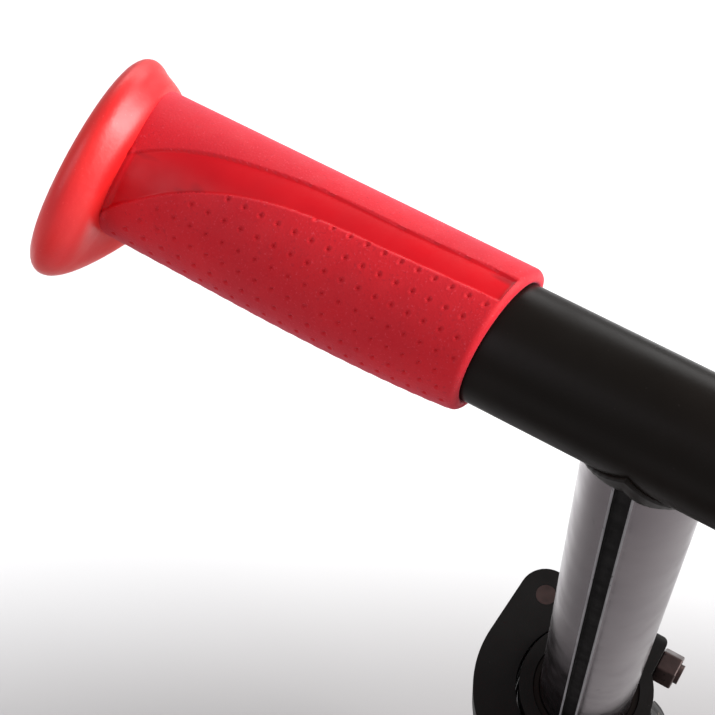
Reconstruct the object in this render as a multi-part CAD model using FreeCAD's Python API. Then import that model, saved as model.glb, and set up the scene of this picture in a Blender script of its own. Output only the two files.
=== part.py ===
"""Toddler's balance bike, as separate pieces, in millimetres.

+X is the direction of travel, +Y is the rider's left and +Z is up. The origin is on the
ground, midway between the two wheels and in the bike's middle plane.
"""

import FreeCAD, Part
import math
import os

os.makedirs("parts", exist_ok=True)
Vec = FreeCAD.Vector

# Wheels
WHEEL_RADIUS = 100.0
WHEELBASE = 500.0
TYRE_HALF_WIDTH = 19.0
RIM_SEAT_RADIUS = 76.0
RIM_INNER_RADIUS = 68.0
RIM_HALF_WIDTH = 14.0
HUB_RADIUS = 15.0
HUB_HALF_WIDTH = 24.2
SPOKE_COUNT = 6
SPOKE_WIDTH = 13.0
SPOKE_HALF_DEPTH = 5.0
AXLE_RADIUS = 4.0
AXLE_HALF_LENGTH = 46.0
BEARING_RADIUS = 11.0
BEARING_WIDTH = 7.0
BEARING_END = 24.0
DROPOUT_INNER = 30.5
DROPOUT_THICKNESS = 5.0
NUT_HEIGHT = 6.5
NUT_CORNER_RADIUS = 7.5
WASHER_THICKNESS = 1.5
WASHER_RADIUS = 8.5

# Running clearance of a shaft in its hole, and of two faces that turn past each other
RUNNING = 0.05
FACE_GAP = 0.3

# Steering column, measured down the steering axis from the middle of the handlebar
LEAN = 20.0
BAR_TO_AXLE = 505.0
BAR_RADIUS = 11.1
BAR_BORE = 9.5
BAR_HALF_LENGTH = 101.0
STEM_RADIUS = 11.1
STEM_BORE = 9.1
STEM_END = 235.0
GROOVE_WIDTH = 3.4
GROOVE_DEPTH = 1.2
GROOVE_START = 16.0
GROOVE_END = 228.0
WELD_RADIUS = 2.0
KEY_RADIUS = 1.5
KEY_DROP = 181.0
STEERER_RADIUS = 12.7
STEERER_TOP = 160.5
COLLAR_TOP = 160.0
COLLAR_HEIGHT = 16.0
LOCKNUT_TOP = 177.0
HEAD_TUBE_TOP = 197.0
HEAD_TUBE_BOTTOM = 335.0
HEAD_TUBE_RADIUS = 17.5
HEAD_TUBE_BORE = 15.0
CUP_RADIUS = 18.5
CUP_HEIGHT = 10.0
CUP_SPIGOT_BORE = 13.3
HEADSET_BEARING_RADIUS = 15.5
CROWN_TOP = 350.0
CROWN_HEIGHT = 22.0
CROWN_LENGTH = 32.0
CROWN_HALF_WIDTH = 42.0
BLADE_RADIUS = 8.0
BLADE_BORE = 6.6
BLADE_OFFSET = 33.0
BLADE_END = 487.0

# Grips: distances along the bar from the steering axis. The hand guard's rim is set back and
# down from the bar and leans in at its top.
GRIP_START = 28.4
GRIP_CREASE = 96.5
GRIP_END_RADIUS = 12.6
GRIP_RADIUS = 13.5
GRIP_SWELL_RADIUS = 14.0
GUARD_CENTRE = Vec(-3.7, 105.1, -1.6)
GUARD_NORMAL = Vec(-0.069, 1.0, 0.265)
GUARD_RADIUS = 20.9
GUARD_INNER = 2.2
GUARD_OUTER = 3.0
GUARD_ROUND = 2.0

# Quick-release clamps
EAR_HALF_WIDTH = 12.0
EAR_REACH = 8.3
SLIT_WIDTH = 3.0
COLLAR_WALL = 3.3
SKEWER_RADIUS = 2.5
CLAMP_PIN_RADIUS = 2.5
CLAMP_PIN_SIDE = 19.3
LEVER_HEIGHT = 12.0
LEVER_WIDTH = 10.2
LEVER_HEAD_RADIUS = 6.7
LEVER_SWEEP = 100.0
LEVER_SWING = 150.0
CLAMP_WASHER_RADIUS = 4.3
CLAMP_WASHER_THICKNESS = 0.5
EYE_RADIUS = 4.2
EYE_HEIGHT = 5.0
CLAMP_NUT_HEIGHT = 5.0
CLAMP_NUT_RADIUS = 4.6

# Frame
SEAT_TUBE_FOOT = Vec(-84.0, 0.0, 150.0)
SEAT_TUBE_LENGTH = 135.0
SEAT_TUBE_RADIUS = 15.9
SEAT_POST_RADIUS = 12.7
SEAT_POST_BORE = 10.7
SEAT_POST_INSERTED = 118.0
SEAT_POST_SHOWN = 52.0
MAIN_TUBE_RADIUS = 17.0
MAIN_TUBE_BORE = 15.4
MAIN_TUBE_HEAD = 266.0
MAIN_TUBE_CORNER = Vec(20.0, 0.0, 170.0)
MAIN_TUBE_REAR = Vec(-86.0, 0.0, 166.0)
MAIN_TUBE_BEND = 90.0
CHAINSTAY_RADIUS = 8.0
SEATSTAY_RADIUS = 6.5
STAY_WALL = 1.4
STAY_END_SIDE = 33.0
STAY_FRONT_SIDE = 22.5
BRIDGE_HALF_LENGTH = 31.0
LOWER_BRIDGE = Vec(-104.0, 0.0, 158.0)
UPPER_BRIDGE = Vec(-139.0, 0.0, 238.0)
LOWER_BRIDGE_RADIUS = 11.0
UPPER_BRIDGE_RADIUS = 8.5
CHAINSTAY_END = Vec(-231.0, STAY_END_SIDE, 109.0)
SEATSTAY_END = Vec(-242.0, STAY_END_SIDE, 119.0)

# Saddle
SADDLE_NOSE_X = -60.0
SADDLE_NOSE_RADIUS = 21.0
SADDLE_REAR_X = -160.0
SADDLE_REAR_RADIUS = 55.0
SADDLE_PLATE_BOTTOM = 327.0
SADDLE_BASE_HEIGHT = 7.0
SADDLE_PAD_HEIGHT = 24.0
SADDLE_PLATE_THICKNESS = 4.0
SADDLE_PLATE_X = -150.0
SADDLE_PLATE_HALF = 28.0
SADDLE_PLATE_HALF_WIDTH = 22.0
SADDLE_BOLT_X = 20.0
SADDLE_BOLT_Y = 15.0

Y_AXIS = Vec(0, 1, 0)
Z_AXIS = Vec(0, 0, 1)
LEAN_RAD = math.radians(LEAN)
STEER_UP = Vec(-math.sin(LEAN_RAD), 0, math.cos(LEAN_RAD))
FRONT_AXLE = Vec(WHEELBASE / 2, 0, WHEEL_RADIUS)
REAR_AXLE = Vec(-WHEELBASE / 2, 0, WHEEL_RADIUS)
BAR_CENTRE = FRONT_AXLE + STEER_UP * BAR_TO_AXLE
SEAT_TUBE_TOP = SEAT_TUBE_FOOT + STEER_UP * SEAT_TUBE_LENGTH


def save(name, shape):
    """Write one node's STEP file."""
    shape.exportStep("parts/%s.step" % name)


def rod(start, end, radius):
    """Solid cylinder between two points."""
    along = end - start
    return Part.makeCylinder(radius, along.Length, start, along)


def tube(start, end, radius, bore):
    """Hollow cylinder between two points."""
    return rod(start, end, radius).cut(rod(start, end, bore))


def column_tube(top, bottom, radius, bore):
    """Hollow cylinder on the local Z axis, from `top` to `bottom` below the origin."""
    return tube(Vec(0, 0, -bottom), Vec(0, 0, -top), radius, bore)


def cross_tube(start, end, radius, bore):
    """Hollow cylinder along Y."""
    return tube(Vec(0, start, 0), Vec(0, end, 0), radius, bore)


def box(low, high):
    """Box from its lowest to its highest corner."""
    size = Vec(*high) - Vec(*low)
    return Part.makeBox(size.x, size.y, size.z, Vec(*low))


def fuse(shapes):
    """One solid from several that touch or overlap."""
    joined = shapes[0]
    for shape in shapes[1:]:
        joined = joined.fuse(shape)
    return joined.removeSplitter()


def lean_back(shape, origin):
    """Turn a shape built on the vertical Z axis onto a leaning column through `origin`."""
    shape = shape.copy()
    shape.rotate(Vec(0, 0, 0), Y_AXIS, -LEAN)
    shape.translate(origin)
    return shape


def mirror_left_right(shape):
    """The same piece on the other side of the middle plane."""
    return shape.mirror(Vec(0, 0, 0), Y_AXIS)


def hex_prism(radius, start, end):
    """Hexagonal prism along Y, with its corners at `radius`."""
    corners = []
    for index in range(7):
        angle = math.radians(60 * index)
        corners.append(Vec(radius * math.cos(angle), start, radius * math.sin(angle)))
    face = Part.Face(Part.makePolygon(corners))
    return face.extrude(Vec(0, end - start, 0))


# ---------------------------------------------------------------- wheels

def tyre():
    """Foam tyre: a rounded tread on a flat seat, revolved about the axle."""
    shoulder = WHEEL_RADIUS - 9.0
    low, high = -TYRE_HALF_WIDTH, TYRE_HALF_WIDTH
    seat_low = Vec(0, -RIM_HALF_WIDTH, RIM_SEAT_RADIUS)
    seat_high = Vec(0, RIM_HALF_WIDTH, RIM_SEAT_RADIUS)
    side_low = Vec(0, low, shoulder)
    side_high = Vec(0, high, shoulder)
    crown = Vec(0, 0, WHEEL_RADIUS)
    edges = [
        Part.LineSegment(seat_low, seat_high).toShape(),
        Part.Arc(seat_high, Vec(0, high - 1.0, RIM_SEAT_RADIUS + 6), side_high).toShape(),
        Part.Arc(side_high, crown, side_low).toShape(),
        Part.Arc(side_low, Vec(0, low + 1.0, RIM_SEAT_RADIUS + 6), seat_low).toShape(),
    ]
    face = Part.Face(Part.Wire(edges))
    return face.revolve(Vec(0, 0, 0), Y_AXIS, 360)


def rim():
    """One-piece wheel: rim, flat spokes and a hub with two bearing seats."""
    hub = cross_tube(-HUB_HALF_WIDTH, HUB_HALF_WIDTH, HUB_RADIUS, AXLE_RADIUS + 3.0)
    ring = cross_tube(-RIM_HALF_WIDTH, RIM_HALF_WIDTH, RIM_SEAT_RADIUS, RIM_INNER_RADIUS)
    pieces = [hub, ring]
    spoke_start = HUB_RADIUS - 3.0
    spoke_end = RIM_INNER_RADIUS + 3.0
    for index in range(SPOKE_COUNT):
        spoke = box(
            (spoke_start, -SPOKE_HALF_DEPTH, -SPOKE_WIDTH / 2),
            (spoke_end, SPOKE_HALF_DEPTH, SPOKE_WIDTH / 2),
        )
        spoke.rotate(Vec(0, 0, 0), Y_AXIS, index * 360.0 / SPOKE_COUNT + 90.0)
        pieces.append(spoke)
    wheel = fuse(pieces)
    pocket = BEARING_END - BEARING_WIDTH
    for side in (-1, 1):
        seat = rod(Vec(0, side * pocket, 0), Vec(0, side * (HUB_HALF_WIDTH + 1), 0), BEARING_RADIUS)
        wheel = wheel.cut(seat)
    return wheel


def wheel_bearings():
    """Two ball bearings, each as one ring that runs on the axle."""
    rings = []
    for side in (-1, 1):
        inner = side * (BEARING_END - BEARING_WIDTH)
        outer = side * BEARING_END
        rings.append(cross_tube(inner, outer, BEARING_RADIUS, AXLE_RADIUS + RUNNING))
    return Part.makeCompound(rings)


def axle():
    """Threaded axle with free ends beyond its nuts."""
    return rod(Vec(0, -AXLE_HALF_LENGTH, 0), Vec(0, AXLE_HALF_LENGTH, 0), AXLE_RADIUS)


def axle_spacers():
    """Sleeves that hold the bearings' inner rings clear of the dropouts."""
    sleeves = []
    for side in (-1, 1):
        inner = side * (BEARING_END + FACE_GAP)
        outer = side * DROPOUT_INNER
        sleeves.append(cross_tube(inner, outer, AXLE_RADIUS + 2.6, AXLE_RADIUS))
    return Part.makeCompound(sleeves)


def axle_washers():
    """Flat washers on the outside of the dropouts."""
    rings = []
    face = DROPOUT_INNER + DROPOUT_THICKNESS
    for side in (-1, 1):
        outer = side * (face + WASHER_THICKNESS)
        rings.append(cross_tube(side * face, outer, WASHER_RADIUS, AXLE_RADIUS))
    return Part.makeCompound(rings)


def axle_nuts():
    """Hexagonal axle nuts."""
    nuts = []
    face = DROPOUT_INNER + DROPOUT_THICKNESS + WASHER_THICKNESS
    for side in (-1, 1):
        nut = hex_prism(NUT_CORNER_RADIUS, side * face, side * (face + NUT_HEIGHT))
        hole = rod(Vec(0, side * (face - 1), 0), Vec(0, side * (face + NUT_HEIGHT + 1), 0), AXLE_RADIUS)
        nuts.append(nut.cut(hole))
    return Part.makeCompound(nuts)


def build_wheel(end, centre):
    """The turning wheel and the fixed pieces of its axle, named after `end` of the bike."""
    pieces = {
        "tyre": tyre(),
        "rim": rim(),
        "wheel_bearings": wheel_bearings(),
        "axle": axle(),
        "axle_spacers": axle_spacers(),
        "axle_washers": axle_washers(),
        "axle_nuts": axle_nuts(),
    }
    for name, shape in pieces.items():
        shape.translate(centre)
        save("%s_%s" % (end, name), shape)


# ---------------------------------------------------------------- handlebar

def handlebar_tube():
    """Straight handlebar."""
    return cross_tube(-BAR_HALF_LENGTH, BAR_HALF_LENGTH, BAR_RADIUS, BAR_BORE)


def stem_tube():
    """Upright stem, mitred to the bar, with a guide groove down its rear face."""
    stem = column_tube(0, STEM_END, STEM_RADIUS, STEM_BORE)
    bar = rod(Vec(0, -40, 0), Vec(0, 40, 0), BAR_RADIUS)
    groove = box(
        (-STEM_RADIUS - 1, -GROOVE_WIDTH / 2, -GROOVE_END),
        (-STEM_RADIUS + GROOVE_DEPTH, GROOVE_WIDTH / 2, -GROOVE_START),
    )
    return stem.cut(bar).cut(groove)


def stem_weld():
    """Weld bead along the mitre, which is half an ellipse on each side of the stem."""
    slant = BAR_RADIUS * math.sqrt(2)
    beads = []
    for side in (-1, 1):
        down = Vec(0, side, -1).normalize()
        across = Vec(1, 0, 0)
        path = []
        steps = 12
        for index in range(steps + 1):
            angle = math.pi * index / steps
            path.append(across * (BAR_RADIUS * math.cos(angle)) + down * (slant * math.sin(angle)))
        curve = Part.BSplineCurve()
        curve.interpolate(path)
        start, tangent = curve.value(curve.FirstParameter), curve.tangent(curve.FirstParameter)[0]
        ring = Part.Wire(Part.makeCircle(WELD_RADIUS, start, tangent))
        beads.append(Part.Wire(curve.toShape()).makePipeShell([ring], True, True))
    for end in (-1, 1):
        beads.append(Part.makeSphere(WELD_RADIUS, Vec(end * BAR_RADIUS, 0, 0)))
    bead = fuse(beads)
    bar = rod(Vec(0, -40, 0), Vec(0, 40, 0), BAR_RADIUS)
    stem = rod(Vec(0, 0, -40), Vec(0, 0, 0), STEM_RADIUS)
    bead = bead.cut(bar).cut(stem)
    return max(bead.Solids, key=lambda solid: solid.Volume)


def hand_guard():
    """Leaning disc at the grip's outer end, with a flare that grows out of the grip's body."""
    along = Vec(GUARD_NORMAL).normalize()
    inner = GUARD_CENTRE - along * GUARD_INNER
    disc = rod(inner, GUARD_CENTRE + along * GUARD_OUTER, GUARD_RADIUS)
    disc = disc.makeFillet(GUARD_ROUND, [edge for edge in disc.Edges if edge.Closed])
    root = Part.Wire(Part.makeCircle(GRIP_RADIUS, Vec(0, GRIP_CREASE, 0), Y_AXIS))
    lip = Part.Wire(Part.makeCircle(GUARD_RADIUS - GUARD_ROUND, inner + along * 0.1, along))
    flare = Part.makeLoft([root, lip], True, True)
    return disc.fuse(flare)


def grip():
    """Left grip: swelling body, closed end and a leaning hand guard."""
    end = GUARD_CENTRE.y
    outline = [
        Vec(0, GRIP_START, BAR_RADIUS),
        Vec(0, GRIP_START, GRIP_END_RADIUS),
        Vec(0, GRIP_START + 1.6, GRIP_RADIUS),
        Vec(0, GRIP_START + 34, GRIP_SWELL_RADIUS),
        Vec(0, GRIP_CREASE, GRIP_RADIUS),
        Vec(0, end, GRIP_RADIUS),
        Vec(0, end, 0),
        Vec(0, BAR_HALF_LENGTH, 0),
        Vec(0, BAR_HALF_LENGTH, BAR_RADIUS),
    ]
    face = Part.Face(Part.makePolygon(outline + [outline[0]]))
    body = face.revolve(Vec(0, 0, 0), Y_AXIS, 360)
    guard = hand_guard().cut(rod(Vec(0, GRIP_START, 0), Vec(0, BAR_HALF_LENGTH, 0), BAR_RADIUS))
    return body.fuse(guard).removeSplitter()


def build_handlebar():
    left = grip()
    pieces = {
        "handlebar_tube": handlebar_tube(),
        "stem_tube": stem_tube(),
        "stem_weld": stem_weld(),
        "grip_left": left,
        "grip_right": mirror_left_right(left),
    }
    for name, shape in pieces.items():
        save(name, lean_back(shape, BAR_CENTRE))


# ---------------------------------------------------------------- quick-release clamps

def clamp_pieces(tube_radius):
    """A split collar and its cam lever, round a column on the local Z axis.

    The collar's top is at z = 0, its ears point along +X and the lever lies on the +Y side.
    """
    pin_x = tube_radius + 3.5
    collar_radius = tube_radius + COLLAR_WALL
    mid = -COLLAR_HEIGHT / 2
    ring = tube(Vec(0, 0, -COLLAR_HEIGHT), Vec(0, 0, 0), collar_radius, tube_radius)
    ears = box(
        (tube_radius - 2, -EAR_HALF_WIDTH, -COLLAR_HEIGHT),
        (tube_radius + EAR_REACH, EAR_HALF_WIDTH, 0),
    )
    ears = ears.makeFillet(2.5, [edge for edge in ears.Edges if edge.BoundBox.XMin > tube_radius])
    ears = ears.cut(rod(Vec(0, 0, -COLLAR_HEIGHT), Vec(0, 0, 0), tube_radius))
    slit = box((0, -SLIT_WIDTH / 2, -COLLAR_HEIGHT - 1), (tube_radius + 20, SLIT_WIDTH / 2, 1))
    hole = rod(Vec(pin_x, -30, mid), Vec(pin_x, 30, mid), SKEWER_RADIUS)
    collar = fuse([ring, ears]).cut(slit).cut(hole)

    washer_face = Vec(pin_x, EAR_HALF_WIDTH, mid)
    washer_end = washer_face + Y_AXIS * CLAMP_WASHER_THICKNESS
    washer = tube(washer_face, washer_end, CLAMP_WASHER_RADIUS, SKEWER_RADIUS)
    nut = hex_prism(CLAMP_NUT_RADIUS, -EAR_HALF_WIDTH - CLAMP_NUT_HEIGHT, -EAR_HALF_WIDTH)
    nut.translate(Vec(pin_x, 0, mid))
    nut = nut.cut(rod(Vec(pin_x, -30, mid), Vec(pin_x, 0, mid), SKEWER_RADIUS))

    eye_foot = Vec(pin_x, CLAMP_PIN_SIDE, mid - EYE_HEIGHT / 2)
    eye = Part.makeCylinder(EYE_RADIUS, EYE_HEIGHT, eye_foot)
    shank_end = Vec(pin_x, -EAR_HALF_WIDTH - CLAMP_NUT_HEIGHT - 1, mid)
    shank = rod(shank_end, Vec(pin_x, CLAMP_PIN_SIDE, mid), SKEWER_RADIUS)
    pin_foot = Vec(pin_x, CLAMP_PIN_SIDE, mid - LEVER_HEIGHT / 2)
    pin = Part.makeCylinder(CLAMP_PIN_RADIUS, LEVER_HEIGHT, pin_foot)
    skewer = fuse([eye, shank]).cut(pin)

    lever = lever_shape(pin_x, collar_radius, mid)
    return {"collar": collar, "washer": washer, "nut": nut, "skewer": skewer, "pin": pin, "lever": lever}


def lever_shape(pin_x, collar_radius, mid):
    """Cam lever: a round head on the pin and a curved handle that hugs the collar."""
    inner = collar_radius + 0.8
    outer = inner + LEVER_WIDTH
    foot = mid - LEVER_HEIGHT / 2
    head_foot = Vec(pin_x, CLAMP_PIN_SIDE, foot)
    head = Part.makeCylinder(LEVER_HEAD_RADIUS, LEVER_HEIGHT, head_foot)
    head_angle = math.degrees(math.atan2(CLAMP_PIN_SIDE, pin_x))
    band = Part.makeCylinder(outer, LEVER_HEIGHT, Vec(0, 0, foot), Z_AXIS, LEVER_SWEEP)
    band = band.cut(Part.makeCylinder(inner, LEVER_HEIGHT, Vec(0, 0, foot), Z_AXIS, 360))
    band.rotate(Vec(0, 0, 0), Z_AXIS, head_angle + 4)
    end_angle = math.radians(head_angle + 4 + LEVER_SWEEP)
    middle = (inner + outer) / 2
    tip = Part.makeCylinder(
        LEVER_WIDTH / 2, LEVER_HEIGHT, Vec(middle * math.cos(end_angle), middle * math.sin(end_angle), foot)
    )
    web = lever_web(pin_x, outer, foot)
    lever = fuse([head, band, tip, web])
    bore = Part.makeCylinder(CLAMP_PIN_RADIUS + RUNNING, LEVER_HEIGHT + 2, head_foot - Z_AXIS)
    return lever.cut(bore).cut(lever_slot(pin_x, mid))


def lever_web(pin_x, outer, foot):
    """Fills the hollow between the lever's head and handle, out to their common tangent."""
    reach = math.hypot(pin_x, CLAMP_PIN_SIDE)
    head_angle = math.atan2(CLAMP_PIN_SIDE, pin_x)
    angle = head_angle + math.acos((outer - LEVER_HEAD_RADIUS) / reach)
    out = Vec(math.cos(angle), math.sin(angle), 0)
    head = Vec(pin_x, CLAMP_PIN_SIDE, foot)
    axis = Vec(0, 0, foot)
    inner = out * (outer - LEVER_WIDTH / 2) + axis
    corners = [head, head + out * LEVER_HEAD_RADIUS, out * outer + axis, inner, head]
    return Part.Face(Part.makePolygon(corners)).extrude(Z_AXIS * LEVER_HEIGHT)


def lever_slot(pin_x, mid):
    """Slot in the lever's head, open wherever the skewer points as the lever swings."""
    pin_place = Vec(pin_x, CLAMP_PIN_SIDE, mid - EYE_HEIGHT / 2 - FACE_GAP)
    height = EYE_HEIGHT + 2 * FACE_GAP
    reach = LEVER_HEAD_RADIUS + 4.0
    half = SKEWER_RADIUS + FACE_GAP
    eye_room = Part.makeCylinder(EYE_RADIUS + FACE_GAP, height, pin_place)
    sweep = Part.makeCylinder(reach, height, pin_place, Z_AXIS, LEVER_SWING)
    sweep.rotate(pin_place, Z_AXIS, -90)
    closed = box((-half, -reach, 0), (half, 0, height))
    closed.translate(pin_place)
    opened = closed.copy()
    opened.rotate(pin_place, Z_AXIS, LEVER_SWING)
    return fuse([eye_room, sweep, closed, opened])


def save_clamp(prefix, tube_radius, origin, turn):
    """Place a clamp on a leaning column, turned about the column by `turn` degrees."""
    for name, shape in clamp_pieces(tube_radius).items():
        shape.rotate(Vec(0, 0, 0), Z_AXIS, turn)
        save("%s_%s" % (prefix, name), lean_back(shape, origin))


# ---------------------------------------------------------------- fork

def steerer_tube():
    """Steerer with a slit at its top, which the collar closes on the stem."""
    steerer = column_tube(STEERER_TOP, CROWN_TOP + CROWN_HEIGHT, STEERER_RADIUS, STEM_RADIUS + RUNNING)
    slit = box((0, -1.0, -STEERER_TOP - 22), (STEERER_RADIUS + 1, 1.0, -STEERER_TOP + 1))
    hole = rod(Vec(-STEERER_RADIUS - 1, 0, -KEY_DROP), Vec(0, 0, -KEY_DROP), KEY_RADIUS)
    return steerer.cut(slit).cut(hole)


def guide_key():
    """Pin through the steerer's wall, into the stem's groove, which stops the bar turning."""
    inner = STEM_RADIUS - GROOVE_DEPTH + 0.3
    outer = STEERER_RADIUS - FACE_GAP
    return rod(Vec(-outer, 0, -KEY_DROP), Vec(-inner, 0, -KEY_DROP), KEY_RADIUS)


def headset_locknut():
    """Ring nut that holds the headset together, above the upper cup."""
    return column_tube(LOCKNUT_TOP, HEAD_TUBE_TOP - CUP_HEIGHT - FACE_GAP, STEERER_RADIUS + 4, STEERER_RADIUS)


def crown_race():
    """Ring on the crown that the lower bearing runs on."""
    return column_tube(HEAD_TUBE_BOTTOM + CUP_HEIGHT + FACE_GAP, CROWN_TOP, CUP_RADIUS - 1, STEERER_RADIUS)


def fork_crown():
    """Crown block across the top of the blades."""
    half_length = CROWN_LENGTH / 2
    block = box(
        (-half_length, -CROWN_HALF_WIDTH, -CROWN_TOP - CROWN_HEIGHT),
        (half_length, CROWN_HALF_WIDTH, -CROWN_TOP),
    )
    upright = [edge for edge in block.Edges if edge.BoundBox.ZLength > CROWN_HEIGHT - 1]
    block = block.makeFillet(9.0, upright)
    bottom = -CROWN_TOP - CROWN_HEIGHT
    return block.cut(rod(Vec(0, 0, bottom - 1), Vec(0, 0, -CROWN_TOP + 1), STEERER_RADIUS))


def fork_blade():
    """Left blade, from the crown to the dropout."""
    blade = column_tube(CROWN_TOP + CROWN_HEIGHT, BLADE_END, BLADE_RADIUS, BLADE_BORE)
    blade.translate(Vec(0, BLADE_OFFSET, 0))
    return blade


def fork_dropout():
    """Left dropout plate with its axle hole."""
    low = DROPOUT_INNER
    high = DROPOUT_INNER + DROPOUT_THICKNESS
    plate = box((-9, low, -BAR_TO_AXLE), (9, high, -BLADE_END))
    eye = rod(Vec(0, low, -BAR_TO_AXLE), Vec(0, high, -BAR_TO_AXLE), 12.0)
    hole = rod(Vec(0, low, -BAR_TO_AXLE), Vec(0, high, -BAR_TO_AXLE), AXLE_RADIUS)
    return fuse([plate, eye]).cut(hole)


def build_fork():
    blade = fork_blade()
    dropout = fork_dropout()
    pieces = {
        "steerer_tube": steerer_tube(),
        "guide_key": guide_key(),
        "headset_locknut": headset_locknut(),
        "crown_race": crown_race(),
        "fork_crown": fork_crown(),
        "fork_blade_left": blade,
        "fork_blade_right": mirror_left_right(blade),
        "fork_dropout_left": dropout,
        "fork_dropout_right": mirror_left_right(dropout),
    }
    for name, shape in pieces.items():
        save(name, lean_back(shape, BAR_CENTRE))


# ---------------------------------------------------------------- frame

def headset_cup(face, towards):
    """Cup pressed into one end of the head tube; `towards` is +1 for the upper cup."""
    outer = face - towards * CUP_HEIGHT
    inner = face + towards * CUP_HEIGHT
    rim_part = column_tube(min(face, outer), max(face, outer), CUP_RADIUS, HEADSET_BEARING_RADIUS)
    spigot = column_tube(min(face, inner), max(face, inner), HEAD_TUBE_BORE, CUP_SPIGOT_BORE)
    floor = face - towards * 2.0
    seat = column_tube(min(face, floor), max(face, floor), CUP_RADIUS, CUP_SPIGOT_BORE)
    return fuse([rim_part, spigot, seat])


def headset_bearings():
    """Upper and lower headset bearings, each as one ring round the steerer."""
    bore = STEERER_RADIUS + RUNNING
    upper_end = HEAD_TUBE_TOP - CUP_HEIGHT + 1
    lower_end = HEAD_TUBE_BOTTOM + CUP_HEIGHT - 1
    upper = column_tube(upper_end, HEAD_TUBE_TOP - 2, HEADSET_BEARING_RADIUS, bore)
    lower = column_tube(HEAD_TUBE_BOTTOM + 2, lower_end, HEADSET_BEARING_RADIUS, bore)
    return Part.makeCompound([upper, lower])


def main_tube():
    """Curved main tube from the head tube down to the foot of the seat tube."""
    head = BAR_CENTRE - STEER_UP * MAIN_TUBE_HEAD
    down = (MAIN_TUBE_CORNER - head).normalize()
    back = (MAIN_TUBE_REAR - MAIN_TUBE_CORNER).normalize()
    turn = down.getAngle(back)
    bend_start = MAIN_TUBE_CORNER - down * MAIN_TUBE_BEND
    bend_end = MAIN_TUBE_CORNER + back * MAIN_TUBE_BEND
    inward = (back - down).normalize()
    radius = MAIN_TUBE_BEND / math.tan(turn / 2)
    bend_middle = MAIN_TUBE_CORNER + inward * (radius / math.cos(turn / 2) - radius)
    rear = MAIN_TUBE_REAR
    path = Part.Wire([
        Part.LineSegment(head, bend_start).toShape(),
        Part.Arc(bend_start, bend_middle, bend_end).toShape(),
        Part.LineSegment(bend_end, rear).toShape(),
    ])
    skins = []
    for size in (MAIN_TUBE_RADIUS, MAIN_TUBE_BORE):
        ring = Part.Wire(Part.makeCircle(size, head, down))
        skins.append(path.makePipeShell([ring], True, True))
    pipe = skins[0].cut(skins[1])
    head_hole = rod(head - STEER_UP * 90, head + STEER_UP * 90, HEAD_TUBE_RADIUS)
    seat_hole = rod(SEAT_TUBE_FOOT - STEER_UP * 90, SEAT_TUBE_TOP, SEAT_TUBE_RADIUS)
    pipe = pipe.cut(head_hole).cut(seat_hole)
    return max(pipe.Solids, key=lambda solid: solid.Volume)


def seat_tube():
    """Seat tube, closed at its foot, with a slit behind for the collar."""
    sleeve = tube(Vec(0, 0, -SEAT_TUBE_LENGTH), Vec(0, 0, 0), SEAT_TUBE_RADIUS, SEAT_POST_RADIUS + RUNNING)
    slit = box((-SEAT_TUBE_RADIUS - 1, -1.0, -28), (0, 1.0, 1))
    floor = rod(Vec(0, 0, -SEAT_TUBE_LENGTH), Vec(0, 0, -SEAT_TUBE_LENGTH + 2), SEAT_TUBE_RADIUS)
    return fuse([sleeve.cut(slit), floor])


def bridge(centre, radius):
    """Cross tube behind the seat tube, which carries the front ends of two stays."""
    side = Vec(0, BRIDGE_HALF_LENGTH, 0)
    across = tube(centre - side, centre + side, radius, radius - STAY_WALL)
    seat = rod(SEAT_TUBE_FOOT - STEER_UP * 20, SEAT_TUBE_TOP, SEAT_TUBE_RADIUS)
    return across.cut(seat)


def stay(rear, radius, bridge_centre, bridge_radius):
    """Left stay from a bridge to the rear dropout."""
    front = bridge_centre + Y_AXIS * STAY_FRONT_SIDE
    side = Vec(0, BRIDGE_HALF_LENGTH + 20, 0)
    across = rod(bridge_centre - side, bridge_centre + side, bridge_radius)
    pipe = tube(front, rear, radius, radius - STAY_WALL)
    pipe = pipe.cut(across).cut(rear_dropout())
    return max(pipe.Solids, key=lambda solid: solid.Volume)


def rear_dropout():
    """Left rear dropout plate, with lugs for both stays."""
    low = Vec(0, DROPOUT_INNER, 0)
    depth = Vec(0, DROPOUT_THICKNESS, 0)
    eye = rod(REAR_AXLE + low, REAR_AXLE + low + depth, 13.0)
    pieces = [eye]
    for target in (CHAINSTAY_END, SEATSTAY_END):
        away = Vec(target.x - REAR_AXLE.x, 0, target.z - REAR_AXLE.z)
        side = Vec(-away.z, 0, away.x).normalize() * 7.0
        start = REAR_AXLE + low
        end = start + away * 1.5
        corners = [start - side, end - side, end + side, start + side, start - side]
        pieces.append(Part.Face(Part.makePolygon(corners)).extrude(depth))
    plate = fuse(pieces)
    return plate.cut(rod(REAR_AXLE + low, REAR_AXLE + low + depth, AXLE_RADIUS))


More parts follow.
